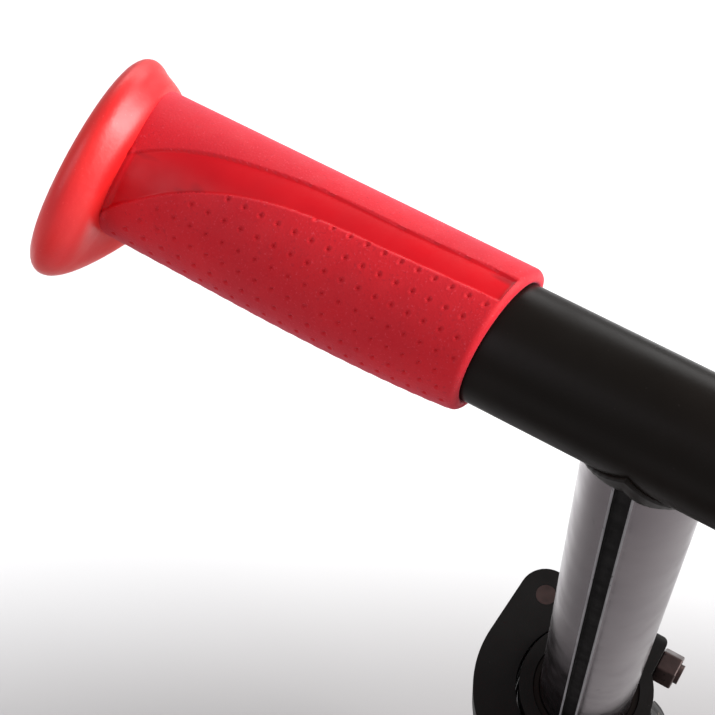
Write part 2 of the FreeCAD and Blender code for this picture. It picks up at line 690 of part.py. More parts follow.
def build_frame():
    chainstay = stay(CHAINSTAY_END, CHAINSTAY_RADIUS, LOWER_BRIDGE, LOWER_BRIDGE_RADIUS)
    seatstay = stay(SEATSTAY_END, SEATSTAY_RADIUS, UPPER_BRIDGE, UPPER_BRIDGE_RADIUS)
    dropout = rear_dropout()
    pieces = {
        "main_tube": main_tube(),
        "seat_tube": lean_back(seat_tube(), SEAT_TUBE_TOP),
        "lower_bridge": bridge(LOWER_BRIDGE, LOWER_BRIDGE_RADIUS),
        "upper_bridge": bridge(UPPER_BRIDGE, UPPER_BRIDGE_RADIUS),
        "chainstay_left": chainstay,
        "chainstay_right": mirror_left_right(chainstay),
        "seatstay_left": seatstay,
        "seatstay_right": mirror_left_right(seatstay),
        "rear_dropout_left": dropout,
        "rear_dropout_right": mirror_left_right(dropout),
    }
    column = {
        "head_tube": column_tube(HEAD_TUBE_TOP, HEAD_TUBE_BOTTOM, HEAD_TUBE_RADIUS, HEAD_TUBE_BORE),
        "headset_cup_upper": headset_cup(HEAD_TUBE_TOP, 1),
        "headset_cup_lower": headset_cup(HEAD_TUBE_BOTTOM, -1),
        "headset_bearings": headset_bearings(),
    }
    for name, shape in column.items():
        pieces[name] = lean_back(shape, BAR_CENTRE)
    for name, shape in pieces.items():
        save(name, shape)


# ---------------------------------------------------------------- saddle

def saddle_outline(shrink, height):
    """Pear-shaped outline: a small nose circle and a large rear circle joined by tangents."""
    nose = SADDLE_NOSE_RADIUS - shrink
    rear = SADDLE_REAR_RADIUS - shrink
    tilt = math.acos((rear - nose) / (SADDLE_NOSE_X - SADDLE_REAR_X))
    up = Vec(math.cos(tilt), math.sin(tilt), 0)
    down = Vec(math.cos(tilt), -math.sin(tilt), 0)
    nose_centre = Vec(SADDLE_NOSE_X, 0, height)
    rear_centre = Vec(SADDLE_REAR_X, 0, height)
    nose_left = nose_centre + up * nose
    nose_right = nose_centre + down * nose
    rear_left = rear_centre + up * rear
    rear_right = rear_centre + down * rear
    return Part.Wire([
        Part.Arc(nose_right, nose_centre + Vec(nose, 0, 0), nose_left).toShape(),
        Part.LineSegment(nose_left, rear_left).toShape(),
        Part.Arc(rear_left, rear_centre - Vec(rear, 0, 0), rear_right).toShape(),
        Part.LineSegment(rear_right, nose_right).toShape(),
    ])


def saddle_base():
    """Moulded shell under the pad."""
    bottom = SADDLE_PLATE_BOTTOM + SADDLE_PLATE_THICKNESS
    return Part.Face(saddle_outline(3.0, bottom)).extrude(Vec(0, 0, SADDLE_BASE_HEIGHT))


def saddle_pad():
    """Cushion on the shell, rounded over at its top."""
    bottom = SADDLE_PLATE_BOTTOM + SADDLE_PLATE_THICKNESS + SADDLE_BASE_HEIGHT
    pad = Part.Face(saddle_outline(0.0, bottom)).extrude(Vec(0, 0, SADDLE_PAD_HEIGHT))
    top = bottom + SADDLE_PAD_HEIGHT
    upper = [edge for edge in pad.Edges if edge.BoundBox.ZMin > top - 0.1]
    return pad.makeFillet(12.0, upper)


def seat_post():
    """Seat post, from inside the seat tube up to the saddle bracket."""
    foot = SEAT_TUBE_TOP - STEER_UP * SEAT_POST_INSERTED
    head = SEAT_TUBE_TOP + STEER_UP * SEAT_POST_SHOWN
    return tube(foot, head, SEAT_POST_RADIUS, SEAT_POST_BORE)


def saddle_bracket():
    """Plate with a socket that the top of the seat post is welded into."""
    plate = box(
        (SADDLE_PLATE_X - SADDLE_PLATE_HALF, -SADDLE_PLATE_HALF_WIDTH, SADDLE_PLATE_BOTTOM),
        (SADDLE_PLATE_X + SADDLE_PLATE_HALF, SADDLE_PLATE_HALF_WIDTH,
         SADDLE_PLATE_BOTTOM + SADDLE_PLATE_THICKNESS),
    )
    foot = SEAT_TUBE_TOP + STEER_UP * (SEAT_POST_SHOWN - 18)
    head = SEAT_TUBE_TOP + STEER_UP * (SEAT_POST_SHOWN + 12)
    socket = rod(foot, head, SEAT_POST_RADIUS + 3.0)
    socket = socket.common(box((-300, -50, 0), (0, 50, SADDLE_PLATE_BOTTOM)))
    post_foot = SEAT_TUBE_TOP - STEER_UP * SEAT_POST_INSERTED
    post_head = SEAT_TUBE_TOP + STEER_UP * SEAT_POST_SHOWN
    bracket = fuse([plate, socket]).cut(rod(post_foot, post_head, SEAT_POST_RADIUS))
    for bolt_x, bolt_y in saddle_bolt_places():
        bracket = bracket.cut(rod(Vec(bolt_x, bolt_y, 300), Vec(bolt_x, bolt_y, 345), 2.5))
    return bracket


def saddle_bolt_places():
    """The four corners of the saddle's bolt pattern."""
    return [
        (SADDLE_PLATE_X + sign_x * SADDLE_BOLT_X, sign_y * SADDLE_BOLT_Y)
        for sign_x in (-1, 1)
        for sign_y in (-1, 1)
    ]


def saddle_bolts():
    """Four bolts, up through the plate and into the saddle's shell."""
    bolts = []
    for bolt_x, bolt_y in saddle_bolt_places():
        under_plate = Vec(bolt_x, bolt_y, SADDLE_PLATE_BOTTOM)
        head = rod(under_plate - Vec(0, 0, 4), under_plate, 4.2)
        shank = rod(under_plate, under_plate + Vec(0, 0, SADDLE_PLATE_THICKNESS), 2.5)
        bolts.append(fuse([head, shank]))
    return Part.makeCompound(bolts)


def build_saddle():
    save("seat_post", seat_post())
    save("saddle_bracket", saddle_bracket())
    save("saddle_bolts", saddle_bolts())
    save("saddle_base", saddle_base())
    save("saddle_pad", saddle_pad())


build_wheel("front", FRONT_AXLE)
build_wheel("rear", REAR_AXLE)
build_handlebar()
build_fork()
save_clamp("clamp", STEERER_RADIUS, BAR_CENTRE - STEER_UP * COLLAR_TOP, 0)
build_frame()
save_clamp("seat_clamp", SEAT_TUBE_RADIUS, SEAT_TUBE_TOP, 180)
build_saddle()
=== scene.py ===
"""Looks of the balance bike: detailed pieces, materials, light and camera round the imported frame."""

import math

import bmesh
import bpy
import numpy as np
from mathutils import Matrix, Vector
from mathutils.bvhtree import BVHTree


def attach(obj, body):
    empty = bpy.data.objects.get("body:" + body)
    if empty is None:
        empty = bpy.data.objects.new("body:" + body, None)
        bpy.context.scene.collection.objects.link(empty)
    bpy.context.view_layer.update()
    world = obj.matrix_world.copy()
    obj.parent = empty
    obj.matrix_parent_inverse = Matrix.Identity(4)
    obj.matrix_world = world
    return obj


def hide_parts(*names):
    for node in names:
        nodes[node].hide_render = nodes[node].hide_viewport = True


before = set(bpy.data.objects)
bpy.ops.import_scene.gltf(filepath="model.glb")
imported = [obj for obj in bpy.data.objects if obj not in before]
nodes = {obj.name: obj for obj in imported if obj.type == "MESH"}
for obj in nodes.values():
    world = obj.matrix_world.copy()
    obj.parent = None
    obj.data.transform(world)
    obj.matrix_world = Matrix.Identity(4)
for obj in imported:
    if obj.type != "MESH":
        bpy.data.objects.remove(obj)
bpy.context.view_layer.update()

# Lengths are in millimetres up to the last section: piece() scales the points to metres.
MM = 0.001
WHEEL_RADIUS = 100.0
AXLE_X = 250.0
LEAN = math.radians(20.0)
UP = np.array([-math.sin(LEAN), 0.0, math.cos(LEAN)])
BACK = np.array([-math.cos(LEAN), 0.0, -math.sin(LEAN)])
LEFT = np.array([0.0, 1.0, 0.0])
BAR_HEIGHT = 505.0
BAR_CENTRE = np.array([AXLE_X, 0.0, WHEEL_RADIUS]) + UP * BAR_HEIGHT
BAR_RADIUS = 11.1
BAR_BORE = 9.5
BAR_HALF_LENGTH = 101.0
STEM_RADIUS = 11.1
STEM_LENGTH = 235.0


# ---------------------------------------------------------------- mesh helpers

def column_points(along, up, back):
    """Points measured from the middle of the bar: along it to the left, up the stem, and back."""
    along, up, back = np.broadcast_arrays(along, up, back)
    return BAR_CENTRE + along[..., None] * LEFT + up[..., None] * UP + back[..., None] * BACK


def grid_faces(rows, columns, looped=False):
    """Quads between rings of points, one ring a row. Looped, the last ring joins the first."""
    faces = []
    for row in range(rows if looped else rows - 1):
        following = (row + 1) % rows
        for column in range(columns):
            beside = (column + 1) % columns
            faces.append((
                row * columns + column,
                row * columns + beside,
                following * columns + beside,
                following * columns + column,
            ))
    return faces


def rings_mesh(rings, capped=True):
    """Vertices and faces of a tube made of rings of points. Capped, a fan closes each end."""
    rows, columns = len(rings), len(rings[0])
    verts = [tuple(point) for ring in rings for point in ring]
    faces = grid_faces(rows, columns)
    for ring_index in (0, rows - 1) if capped else ():
        verts.append(tuple(np.mean(np.asarray(rings[ring_index]), axis=0)))
        middle = len(verts) - 1
        base = ring_index * columns
        for column in range(columns):
            pair = (base + column, base + (column + 1) % columns)
            faces.append((pair[1], pair[0], middle) if ring_index == 0 else (pair[0], pair[1], middle))
    return verts, faces


def piece(name, verts, faces, material, body, replaces=(), sharp=40.0):
    """A finished mesh object in the row frame. Coordinates come in millimetres."""
    mesh = bpy.data.meshes.new(name)
    mesh.from_pydata([(x * MM, y * MM, z * MM) for x, y, z in verts], [], faces)
    tidy = bmesh.new()
    tidy.from_mesh(mesh)
    bmesh.ops.recalc_face_normals(tidy, faces=tidy.faces)
    tidy.to_mesh(mesh)
    tidy.free()
    mesh.shade_smooth()
    mesh.set_sharp_from_angle(angle=math.radians(sharp))
    mesh.materials.append(material)
    obj = bpy.data.objects.new(name, mesh)
    bpy.context.scene.collection.objects.link(obj)
    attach(obj, body)
    if replaces:
        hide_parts(*replaces)
    return obj


def frame_on(axis):
    """Two unit vectors across an axis."""
    axis = np.asarray(axis, float) / np.linalg.norm(axis)
    helper = LEFT if abs(axis[1]) < 0.9 else np.array([1.0, 0.0, 0.0])
    first = np.cross(helper, axis)
    first /= np.linalg.norm(first)
    return axis, first, np.cross(axis, first)


def rounded(profile, radius, steps=4):
    """A closed profile of (radius, height) points with every corner rounded off."""
    points = [np.array(point, float) for point in profile]
    result = []
    for index, corner in enumerate(points):
        before = points[index - 1] - corner
        after = points[(index + 1) % len(points)] - corner
        reach = min(radius, 0.45 * np.linalg.norm(before), 0.45 * np.linalg.norm(after))
        start = corner + before / np.linalg.norm(before) * reach
        end = corner + after / np.linalg.norm(after) * reach
        for step in range(steps + 1):
            t = step / steps
            result.append((1 - t) ** 2 * start + 2 * t * (1 - t) * corner + t * t * end)
    return result


def turned(profile, origin, axis, segments, bevel):
    """Vertices and faces of a closed profile of (radius, height) turned about an axis."""
    axis, first, second = frame_on(axis)
    outline = rounded(profile, bevel)
    verts = []
    for step in range(segments):
        angle = 2 * math.pi * step / segments
        out = math.cos(angle) * first + math.sin(angle) * second
        verts += [tuple(np.asarray(origin) + out * radius + axis * height) for radius, height in outline]
    return verts, grid_faces(segments, len(outline), looped=True)


def merged(parts):
    """Several (verts, faces) pairs as one."""
    verts, faces = [], []
    for part_verts, part_faces in parts:
        offset = len(verts)
        verts += part_verts
        faces += [tuple(index + offset for index in face) for face in part_faces]
    return verts, faces


def smooth_step(value):
    """Eases from 0 to 1 as the value goes from 0 to 1, and stays there outside."""
    value = np.clip(value, 0.0, 1.0)
    return value * value * (3 - 2 * value)


def soft_curve(points, x):
    """Smooth curve through (x, y) points, with level-headed slopes so that it never overshoots."""
    xs = np.array([point[0] for point in points], float)
    ys = np.array([point[1] for point in points], float)
    chord = np.diff(ys) / np.diff(xs)
    slope = np.concatenate([[chord[0]], (chord[1:] + chord[:-1]) / 2, [chord[-1]]])
    x = np.clip(x, xs[0], xs[-1])
    index = np.clip(np.searchsorted(xs, x) - 1, 0, len(xs) - 2)
    width = xs[index + 1] - xs[index]
    t = (x - xs[index]) / width
    return (
        (2 * t**3 - 3 * t**2 + 1) * ys[index]
        + (t**3 - 2 * t**2 + t) * width * slope[index]
        + (3 * t**2 - 2 * t**3) * ys[index + 1]
        + (t**3 - t**2) * width * slope[index + 1]
    )


# ---------------------------------------------------------------- materials

def srgb(red, green, blue):
    """Linear colour from 0-255 screen values."""
    result = []
    for value in (red, green, blue):
        value /= 255.0
        result.append(value / 12.92 if value <= 0.04045 else ((value + 0.055) / 1.055) ** 2.4)
    return (*result, 1.0)


NOISE_ROUGHNESS = 0.55
FLECK_DETAIL = 2.0
MOTTLE_RANGE = (0.35, 0.65)
ROUGHNESS_RANGE = (0.3, 0.7)


class Surface:
    """A procedural material with mottled colour, varied roughness, fine grain and scuffs."""

    def __init__(self, name, roughness, metallic=0.0, **sockets):
        self.material = bpy.data.materials.new(name)
        self.material.use_nodes = True
        self.tree = self.material.node_tree
        self.shader = self.tree.nodes["Principled BSDF"]
        self.shader.inputs["Metallic"].default_value = metallic
        self.roughness = roughness
        for socket, value in sockets.items():
            self.shader.inputs[socket.replace("_", " ")].default_value = value
        self.place = self.node("ShaderNodeTexCoord").outputs["Object"]
        self.paint = None
        self.height = None

    def node(self, kind, **values):
        made = self.tree.nodes.new(kind)
        for key, value in values.items():
            setattr(made, key, value)
        return made

    def link(self, source, target):
        self.tree.links.new(source, target)

    def noise(self, scale, detail=3.0, stretch=None):
        texture = self.node("ShaderNodeTexNoise")
        texture.inputs["Scale"].default_value = scale
        texture.inputs["Detail"].default_value = detail
        texture.inputs["Roughness"].default_value = NOISE_ROUGHNESS
        place = self.place
        if stretch:
            mapping = self.node("ShaderNodeMapping")
            mapping.inputs["Scale"].default_value = stretch
            self.link(place, mapping.inputs["Vector"])
            place = mapping.outputs["Vector"]
        self.link(place, texture.inputs["Vector"])
        return texture.outputs["Fac"]

    def cells(self, scale):
        texture = self.node("ShaderNodeTexVoronoi", feature="F1")
        texture.inputs["Scale"].default_value = scale
        self.link(self.place, texture.inputs["Vector"])
        return texture.outputs["Distance"]

    def between(self, value, low, high, to_low=0.0, to_high=1.0):
        mapped = self.node("ShaderNodeMapRange")
        mapped.inputs["From Min"].default_value = low
        mapped.inputs["From Max"].default_value = high
        mapped.inputs["To Min"].default_value = to_low
        mapped.inputs["To Max"].default_value = to_high
        self.link(value, mapped.inputs["Value"])
        return mapped.outputs["Result"]

    def mix(self, factor, first, second):
        mixed = self.node("ShaderNodeMix", data_type="RGBA")
        self.link(factor, mixed.inputs["Factor"])
        for value, socket in ((first, mixed.inputs["A"]), (second, mixed.inputs["B"])):
            if isinstance(value, tuple):
                socket.default_value = value
            else:
                self.link(value, socket)
        return mixed.outputs["Result"]

    def product(self, first, second):
        joined = self.node("ShaderNodeMath", operation="MULTIPLY")
        self.link(first, joined.inputs[0])
        self.link(second, joined.inputs[1])
        return joined.outputs["Value"]

    def colour(self, base, other, scale):
        """Mottles the surface in two close colours."""
        self.paint = self.mix(self.between(self.noise(scale), *MOTTLE_RANGE), base, other)

    def fleck(self, colour, scale, threshold, width, stretch=None):
        """Adds sparse flecks, scuffs or dust of another colour."""
        mask = self.between(self.noise(scale, FLECK_DETAIL, stretch), threshold, threshold + width)
        self.paint = self.mix(mask, self.paint, colour)

    def grain(self, height, depth, strength):
        """Adds a bump layer. Depth is in millimetres."""
        bump = self.node("ShaderNodeBump")
        bump.inputs["Strength"].default_value = strength
        bump.inputs["Distance"].default_value = depth * MM
        self.link(height, bump.inputs["Height"])
        if self.height is not None:
            self.link(self.height, bump.inputs["Normal"])
        self.height = bump.outputs["Normal"]

    def finish(self, spread, scale):
        """Varies the roughness by `spread`, links everything up and returns the material."""
        smoothest, roughest = self.roughness - spread, self.roughness + spread
        rough = self.between(self.noise(scale), *ROUGHNESS_RANGE, smoothest, roughest)
        self.link(rough, self.shader.inputs["Roughness"])
        self.link(self.paint, self.shader.inputs["Base Color"])
        if self.height is not None:
            self.link(self.height, self.shader.inputs["Normal"])
        return self.material


def rubber_matte():
    made = Surface(
        "grip_rubber_matte", 0.66,
        Specular_IOR_Level=0.3, Sheen_Weight=0.2, Sheen_Roughness=0.45, Sheen_Tint=(0.9, 0.5, 0.7, 1.0),
    )
    made.colour(srgb(216, 20, 34), srgb(203, 18, 34), scale=60.0)
    made.fleck(srgb(220, 54, 68), 2600.0, 0.62, 0.1)
    made.fleck(srgb(196, 16, 34), 1500.0, 0.60, 0.12)
    made.grain(made.noise(2600.0, 2.0), 0.07, 0.7)
    made.grain(made.noise(420.0, 2.0), 0.03, 0.4)
    return made.finish(0.07, 300.0)


def rubber_panel():
    made = Surface("grip_rubber_panel", 0.4, Specular_IOR_Level=0.25)
    made.colour(srgb(218, 10, 26), srgb(202, 9, 25), scale=50.0)
    made.fleck(srgb(170, 10, 26), 160.0, 0.62, 0.08, stretch=(1.0, 0.35, 1.0))
    made.grain(made.noise(700.0, 3.0), 0.035, 0.6)
    made.grain(made.noise(90.0, 3.0), 0.10, 0.4)
    return made.finish(0.09, 180.0)


def rubber_flange():
    made = Surface("grip_rubber_flange", 0.42, Specular_IOR_Level=0.6)
    made.colour(srgb(236, 36, 32), srgb(226, 28, 34), scale=50.0)
    made.fleck(srgb(238, 60, 62), 2200.0, 0.66, 0.1)
    made.grain(made.noise(1500.0, 2.0), 0.05, 0.6)
    return made.finish(0.07, 150.0)


def black_paint():
    made = Surface("black_satin_paint", 0.34, Specular_IOR_Level=0.12)
    made.colour(srgb(19, 15, 12), srgb(24, 19, 16), scale=30.0)
    made.fleck(srgb(46, 41, 40), 1400.0, 0.76, 0.03)
    made.grain(made.noise(520.0, 2.0), 0.04, 0.5)
    made.grain(made.noise(60.0, 2.0), 0.12, 0.25)
    return made.finish(0.07, 90.0)


def frame_paint():
    made = Surface("frame_gloss_paint", 0.3, Specular_IOR_Level=0.4, Coat_Weight=0.5, Coat_Roughness=0.12)
    made.colour(srgb(24, 23, 24), srgb(31, 29, 30), scale=18.0)
    made.fleck(srgb(14, 13, 14), 210.0, 0.70, 0.04)
    made.fleck(srgb(74, 70, 72), 1300.0, 0.74, 0.03)
    made.grain(made.noise(900.0, 2.0), 0.012, 0.3)
    made.grain(made.noise(45.0, 2.0), 0.08, 0.15)
    return made.finish(0.07, 60.0)


def chrome():
    made = Surface("chrome_tube", 0.2, metallic=1.0)
    made.colour(srgb(126, 117, 121), srgb(118, 109, 114), scale=30.0)
    made.fleck(srgb(96, 88, 93), 500.0, 0.70, 0.08, stretch=(1.0, 1.0, 0.06))
    made.grain(made.noise(2200.0, 2.0), 0.006, 0.3)
    return made.finish(0.06, 150.0)


# Painted shade: near-black, barely reflecting steel in the stem's groove, in place of the channel's dark
# reflection.
def groove_painted_shade():
    made = Surface("groove_painted_shade", 0.6, Specular_IOR_Level=0.06)
    made.colour(srgb(30, 28, 28), srgb(20, 18, 18), scale=60.0)
    made.fleck(srgb(66, 62, 64), 700.0, 0.70, 0.05, stretch=(1.0, 1.0, 0.1))
    made.grain(made.noise(900.0), 0.03, 0.5)
    return made.finish(0.1, 200.0)


# Painted highlight: a light grey, barely reflecting finish on the groove's lips, so they show as thin
# bright lines.
def groove_lip_painted_highlight():
    made = Surface("groove_lip_painted_highlight", 0.5, Specular_IOR_Level=0.12)
    made.colour(srgb(150, 148, 150), srgb(128, 126, 128), scale=80.0)
    made.fleck(srgb(84, 80, 82), 900.0, 0.66, 0.06)
    made.grain(made.noise(1400.0), 0.01, 0.3)
    return made.finish(0.08, 200.0)


def steel_parts():
    made = Surface("plated_steel", 0.32, metallic=1.0)
    made.colour(srgb(176, 176, 180), srgb(150, 148, 146), scale=90.0)
    made.fleck(srgb(96, 90, 84), 420.0, 0.66, 0.08)
    made.grain(made.noise(900.0), 0.02, 0.5)
    return made.finish(0.1, 200.0)


def moulded_black(name, roughness, light, grain_depth):
    """Black plastic whose screen value, 0-255, is `light`."""
    made = Surface(name, roughness, Specular_IOR_Level=0.16)
    made.colour(srgb(light, light - 1, light - 2), srgb(light + 6, light + 4, light + 3), scale=40.0)
    made.fleck(srgb(light + 34, light + 32, light + 31), 1100.0, 0.75, 0.03)
    made.grain(made.noise(1700.0, 2.0), grain_depth, 0.7)
    made.grain(made.noise(130.0, 2.0), 0.08, 0.25)
    return made.finish(0.08, 140.0)


def dark_steel():
    """Black-oxide steel of the small clamp parts."""
    made = Surface("dark_steel", 0.4, metallic=0.75)
    made.colour(srgb(80, 64, 62), srgb(64, 52, 50), scale=240.0)
    made.fleck(srgb(48, 40, 40), 900.0, 0.64, 0.08)
    made.grain(made.noise(1200.0), 0.03, 0.5)
    return made.finish(0.08, 200.0)


def tyre_foam():
    made = Surface("tyre_foam", 0.82, Specular_IOR_Level=0.3)
    made.colour(srgb(36, 35, 35), srgb(48, 46, 46), scale=35.0)
    made.fleck(srgb(112, 104, 96), 260.0, 0.66, 0.1)
    made.fleck(srgb(16, 16, 16), 1500.0, 0.62, 0.06)
    made.grain(made.cells(900.0), 0.12, 0.5)
    made.grain(made.noise(320.0), 0.15, 0.5)
    return made.finish(0.06, 100.0)


def saddle_vinyl():
    made = Surface("saddle_vinyl", 0.5, Specular_IOR_Level=0.45, Sheen_Weight=0.08)
    made.colour(srgb(30, 28, 29), srgb(42, 39, 40), scale=26.0)
    made.fleck(srgb(78, 73, 72), 500.0, 0.70, 0.06)
    made.grain(made.cells(620.0), 0.28, 0.55)
    made.grain(made.noise(1400.0), 0.06, 0.5)
    return made.finish(0.08, 80.0)


def thread():
    made = Surface("saddle_thread", 0.7, Sheen_Weight=0.2)
    made.colour(srgb(176, 24, 34), srgb(146, 18, 28), scale=500.0)
    made.fleck(srgb(206, 80, 84), 2400.0, 0.6, 0.08)
    made.grain(made.noise(2600.0, stretch=(1.0, 1.0, 0.3)), 0.08, 0.8)
    return made.finish(0.08, 500.0)


MATTE = rubber_matte()
PANEL = rubber_panel()
FLANGE = rubber_flange()
BLACK = black_paint()
GLOSS = frame_paint()
CHROME = chrome()
GROOVE = groove_painted_shade()
GROOVE_HIGHLIGHT = groove_lip_painted_highlight()
STEEL = steel_parts()
HEADSET = moulded_black("headset_black", 0.36, 14, 0.03)
CLAMP = moulded_black("clamp_black", 0.44, 12, 0.05)
LEVER = moulded_black("lever_black", 0.5, 10, 0.06)
WHEEL = moulded_black("rim_plastic", 0.5, 32, 0.08)
SHELL = moulded_black("saddle_shell", 0.55, 28, 0.10)
DARK_STEEL = dark_steel()
TYRE = tyre_foam()
VINYL = saddle_vinyl()
THREAD = thread()


# ---------------------------------------------------------------- grips

GRIP_START = 27.9
GRIP_CREASE = 96.0
GRIP_STEP = 0.2625
GRIP_TURNS = 300
PANEL_START = 28.9
PANEL_DEPTH = 0.4
PANEL_WALL = 0.28
PANEL_GAP = 0.35
PANEL_UPPER = [
    (28, -25.5), (49, -21), (65, -19), (73.3, -14), (82, -6), (86.2, 0), (90.1, 7), (93.9, 16), (96, 23),
]
PANEL_LOWER = [
    (28, -2.5), (46, 1), (61.6, 4), (70, 9), (78.4, 19), (86.5, 35), (91.7, 52), (94.3, 63), (96, 74),
]
SYMMETRY = -80.0
DIMPLE_PITCH = 3.15
DIMPLE_SHIFT = 2.1
DIMPLE_FIRST = 30.26
DIMPLE_ROW = 14.4
DIMPLE_ROW_FIRST = 4.8
DIMPLE_ROWS = 7
DIMPLE_ENDS = [62.0, 76.5, 81.8, 87.2, 92.0, 94.0, 94.4]
DIMPLE_RADIUS = 0.52
DIMPLE_DEPTH = 0.46
DIMPLE_LIP = 0.05
DIMPLE_LIP_WIDTH = 0.2
GRIP_RADIUS = 13.5
GRIP_SWELL = [(28, 13.1), (32, 13.5), (45, 14.1), (62, 14.3), (80, 14.0), (96, 13.65)]
FOOT_HEIGHT, FOOT_WIDTH, FOOT_BEFORE_CREASE = 0.42, 0.32, 0.6
FOOT_FROM, FOOT_TO, FOOT_FADE = 14.0, 82.0, 8.0
LIP_LENGTH, LIP_DROP = 1.25, 1.35
SLANT_END, SLANT_FADE = 52.0, 24.0
CREASE_BLEND = 82.0
BORE_GAP = 0.08
BORE_DEPTHS = (101.4, 60.0, 31.5)
BORE_MOUTH = ((0.0, 0.9), (0.12, 0.25), (0.4, 0.04))
PANEL_SLOT, FLANGE_SLOT = 1, 2
FLANGE_CENTRE = np.array([105.1, -1.6, 3.7])
FLANGE_NORMAL = np.array([1.0, 0.265, 0.069])
FLANGE_RADIUS = 20.93
FLANGE_ROUND = 3.0
FLARE_ROWS = 26
FLARE_LIFT = math.radians(20.0)
FLARE_LEAVE, FLARE_ARRIVE = 0.38, 0.3
ARRIVE_OUT, ARRIVE_ALONG = 0.55, 0.835
RIM_INSET, RIM_BEFORE_END = 0.75, 1.9
RIM_PROFILE = [
    (0.5, -1.5), (0.28, -1.0), (0.12, -0.5), (0.03, 0.0), (0.06, 0.6), (0.25, 1.2), (0.6, 1.75),
    (1.1, 2.2), (1.75, 2.6), (2.5, 2.85), (3.3, 2.97),
]
END_PROFILE = [
    (16.5, 0.12), (15.4, 0.1), (14.6, -0.1), (13.9, -0.5), (13.2, -0.75), (12.0, -0.82), (9.5, -0.6),
    (7.0, -0.38), (4.5, -0.24), (2.0, -0.16),
]


def grip_angle(turn):
    """Angle from the grip's plane of symmetry, in degrees, as if measured on its rear side."""
    away = (turn - SYMMETRY + 180.0) % 360.0 - 180.0
    return SYMMETRY + np.abs(away)


def panel_cover(along, turn, radius):
    """1 on the sunk panel and 0 outside it."""
    below = np.radians(turn - soft_curve(PANEL_UPPER, along)) * radius
    above = np.radians(soft_curve(PANEL_LOWER, along) - turn) * radius
    ends = np.minimum(along - PANEL_START, GRIP_CREASE - PANEL_GAP - along)
    inside = np.minimum(np.minimum(below, above), ends)
    return smooth_step(inside / PANEL_WALL + 0.5)


def dimple_depth(along, turn, radius):
    """Conical pits in staggered rows, with a faint raised lip round each."""
    depth = np.zeros_like(along)
    for row in range(DIMPLE_ROWS):
        across = np.radians(turn - DIMPLE_ROW_FIRST - DIMPLE_ROW * row) * radius
        start = DIMPLE_FIRST + (DIMPLE_SHIFT * row) % DIMPLE_PITCH
        nearest = start + np.round((along - start) / DIMPLE_PITCH) * DIMPLE_PITCH
        last = start + DIMPLE_PITCH * int((DIMPLE_ENDS[row] - start) / DIMPLE_PITCH)
        nearest = np.clip(nearest, start, last)
        away = np.hypot(along - nearest, across)
        depth += DIMPLE_DEPTH * smooth_step(1.0 - away / DIMPLE_RADIUS)
        depth -= DIMPLE_LIP * np.exp(-(((away - 1.25 * DIMPLE_RADIUS) / DIMPLE_LIP_WIDTH) ** 2))
    return depth


def grip_radius(along, turn):
    """Radius of the plain grip body: straight along its top and swelling a little below."""
    weight = 0.5 - 0.5 * np.cos(np.radians(turn + 65.0))
    return GRIP_RADIUS + (soft_curve(GRIP_SWELL, along) - GRIP_RADIUS) * weight


def crease_shift(turn):
    """How far the crease at the flange lies beyond its nearest place, round the grip."""
    return 2.7 * np.sin(np.radians(turn - 18.0)) ** 2 - 0.2


def end_slant(turn):
    """How far the grip's inner end leans along the bar, round its rim."""
    return 0.45 - 1.3 * np.cos(np.radians(turn + 95.0))


def flange_rings(turn, crease):
    """Rings of the hand guard: a bulging flare from the crease, a rounded rim and a domed end."""
    normal = FLANGE_NORMAL / np.linalg.norm(FLANGE_NORMAL)
    angle = np.radians(turn)
    out = np.stack([np.zeros_like(angle), np.cos(angle), np.sin(angle)], axis=1)
    out -= (out @ normal)[:, None] * normal
    out /= np.linalg.norm(out, axis=1)[:, None]
    rim = FLANGE_CENTRE + out * (FLANGE_RADIUS - RIM_INSET) - normal * RIM_BEFORE_END
    arrive = ARRIVE_OUT * out + ARRIVE_ALONG * normal
    chord = rim - crease
    length = np.linalg.norm(chord, axis=1)[:, None]
    lift = np.arctan2((chord * out).sum(1), chord @ normal) + FLARE_LIFT
    leave = np.cos(lift)[:, None] * normal + np.sin(lift)[:, None] * out
    rings = []
    for t in np.linspace(0.0, 1.0, FLARE_ROWS + 1)[1:]:
        rings.append(
            (1 - t) ** 3 * crease
            + 3 * (1 - t) ** 2 * t * (crease + leave * length * FLARE_LEAVE)
            + 3 * (1 - t) * t * t * (rim - arrive * length * FLARE_ARRIVE)
            + t**3 * rim
        )
    for inset, height in RIM_PROFILE:
        rings.append(FLANGE_CENTRE + out * (FLANGE_RADIUS - inset) + normal * height)
    for radius, height in END_PROFILE:
        rings.append(FLANGE_CENTRE + out * radius + normal * (FLANGE_ROUND + height))
    return rings


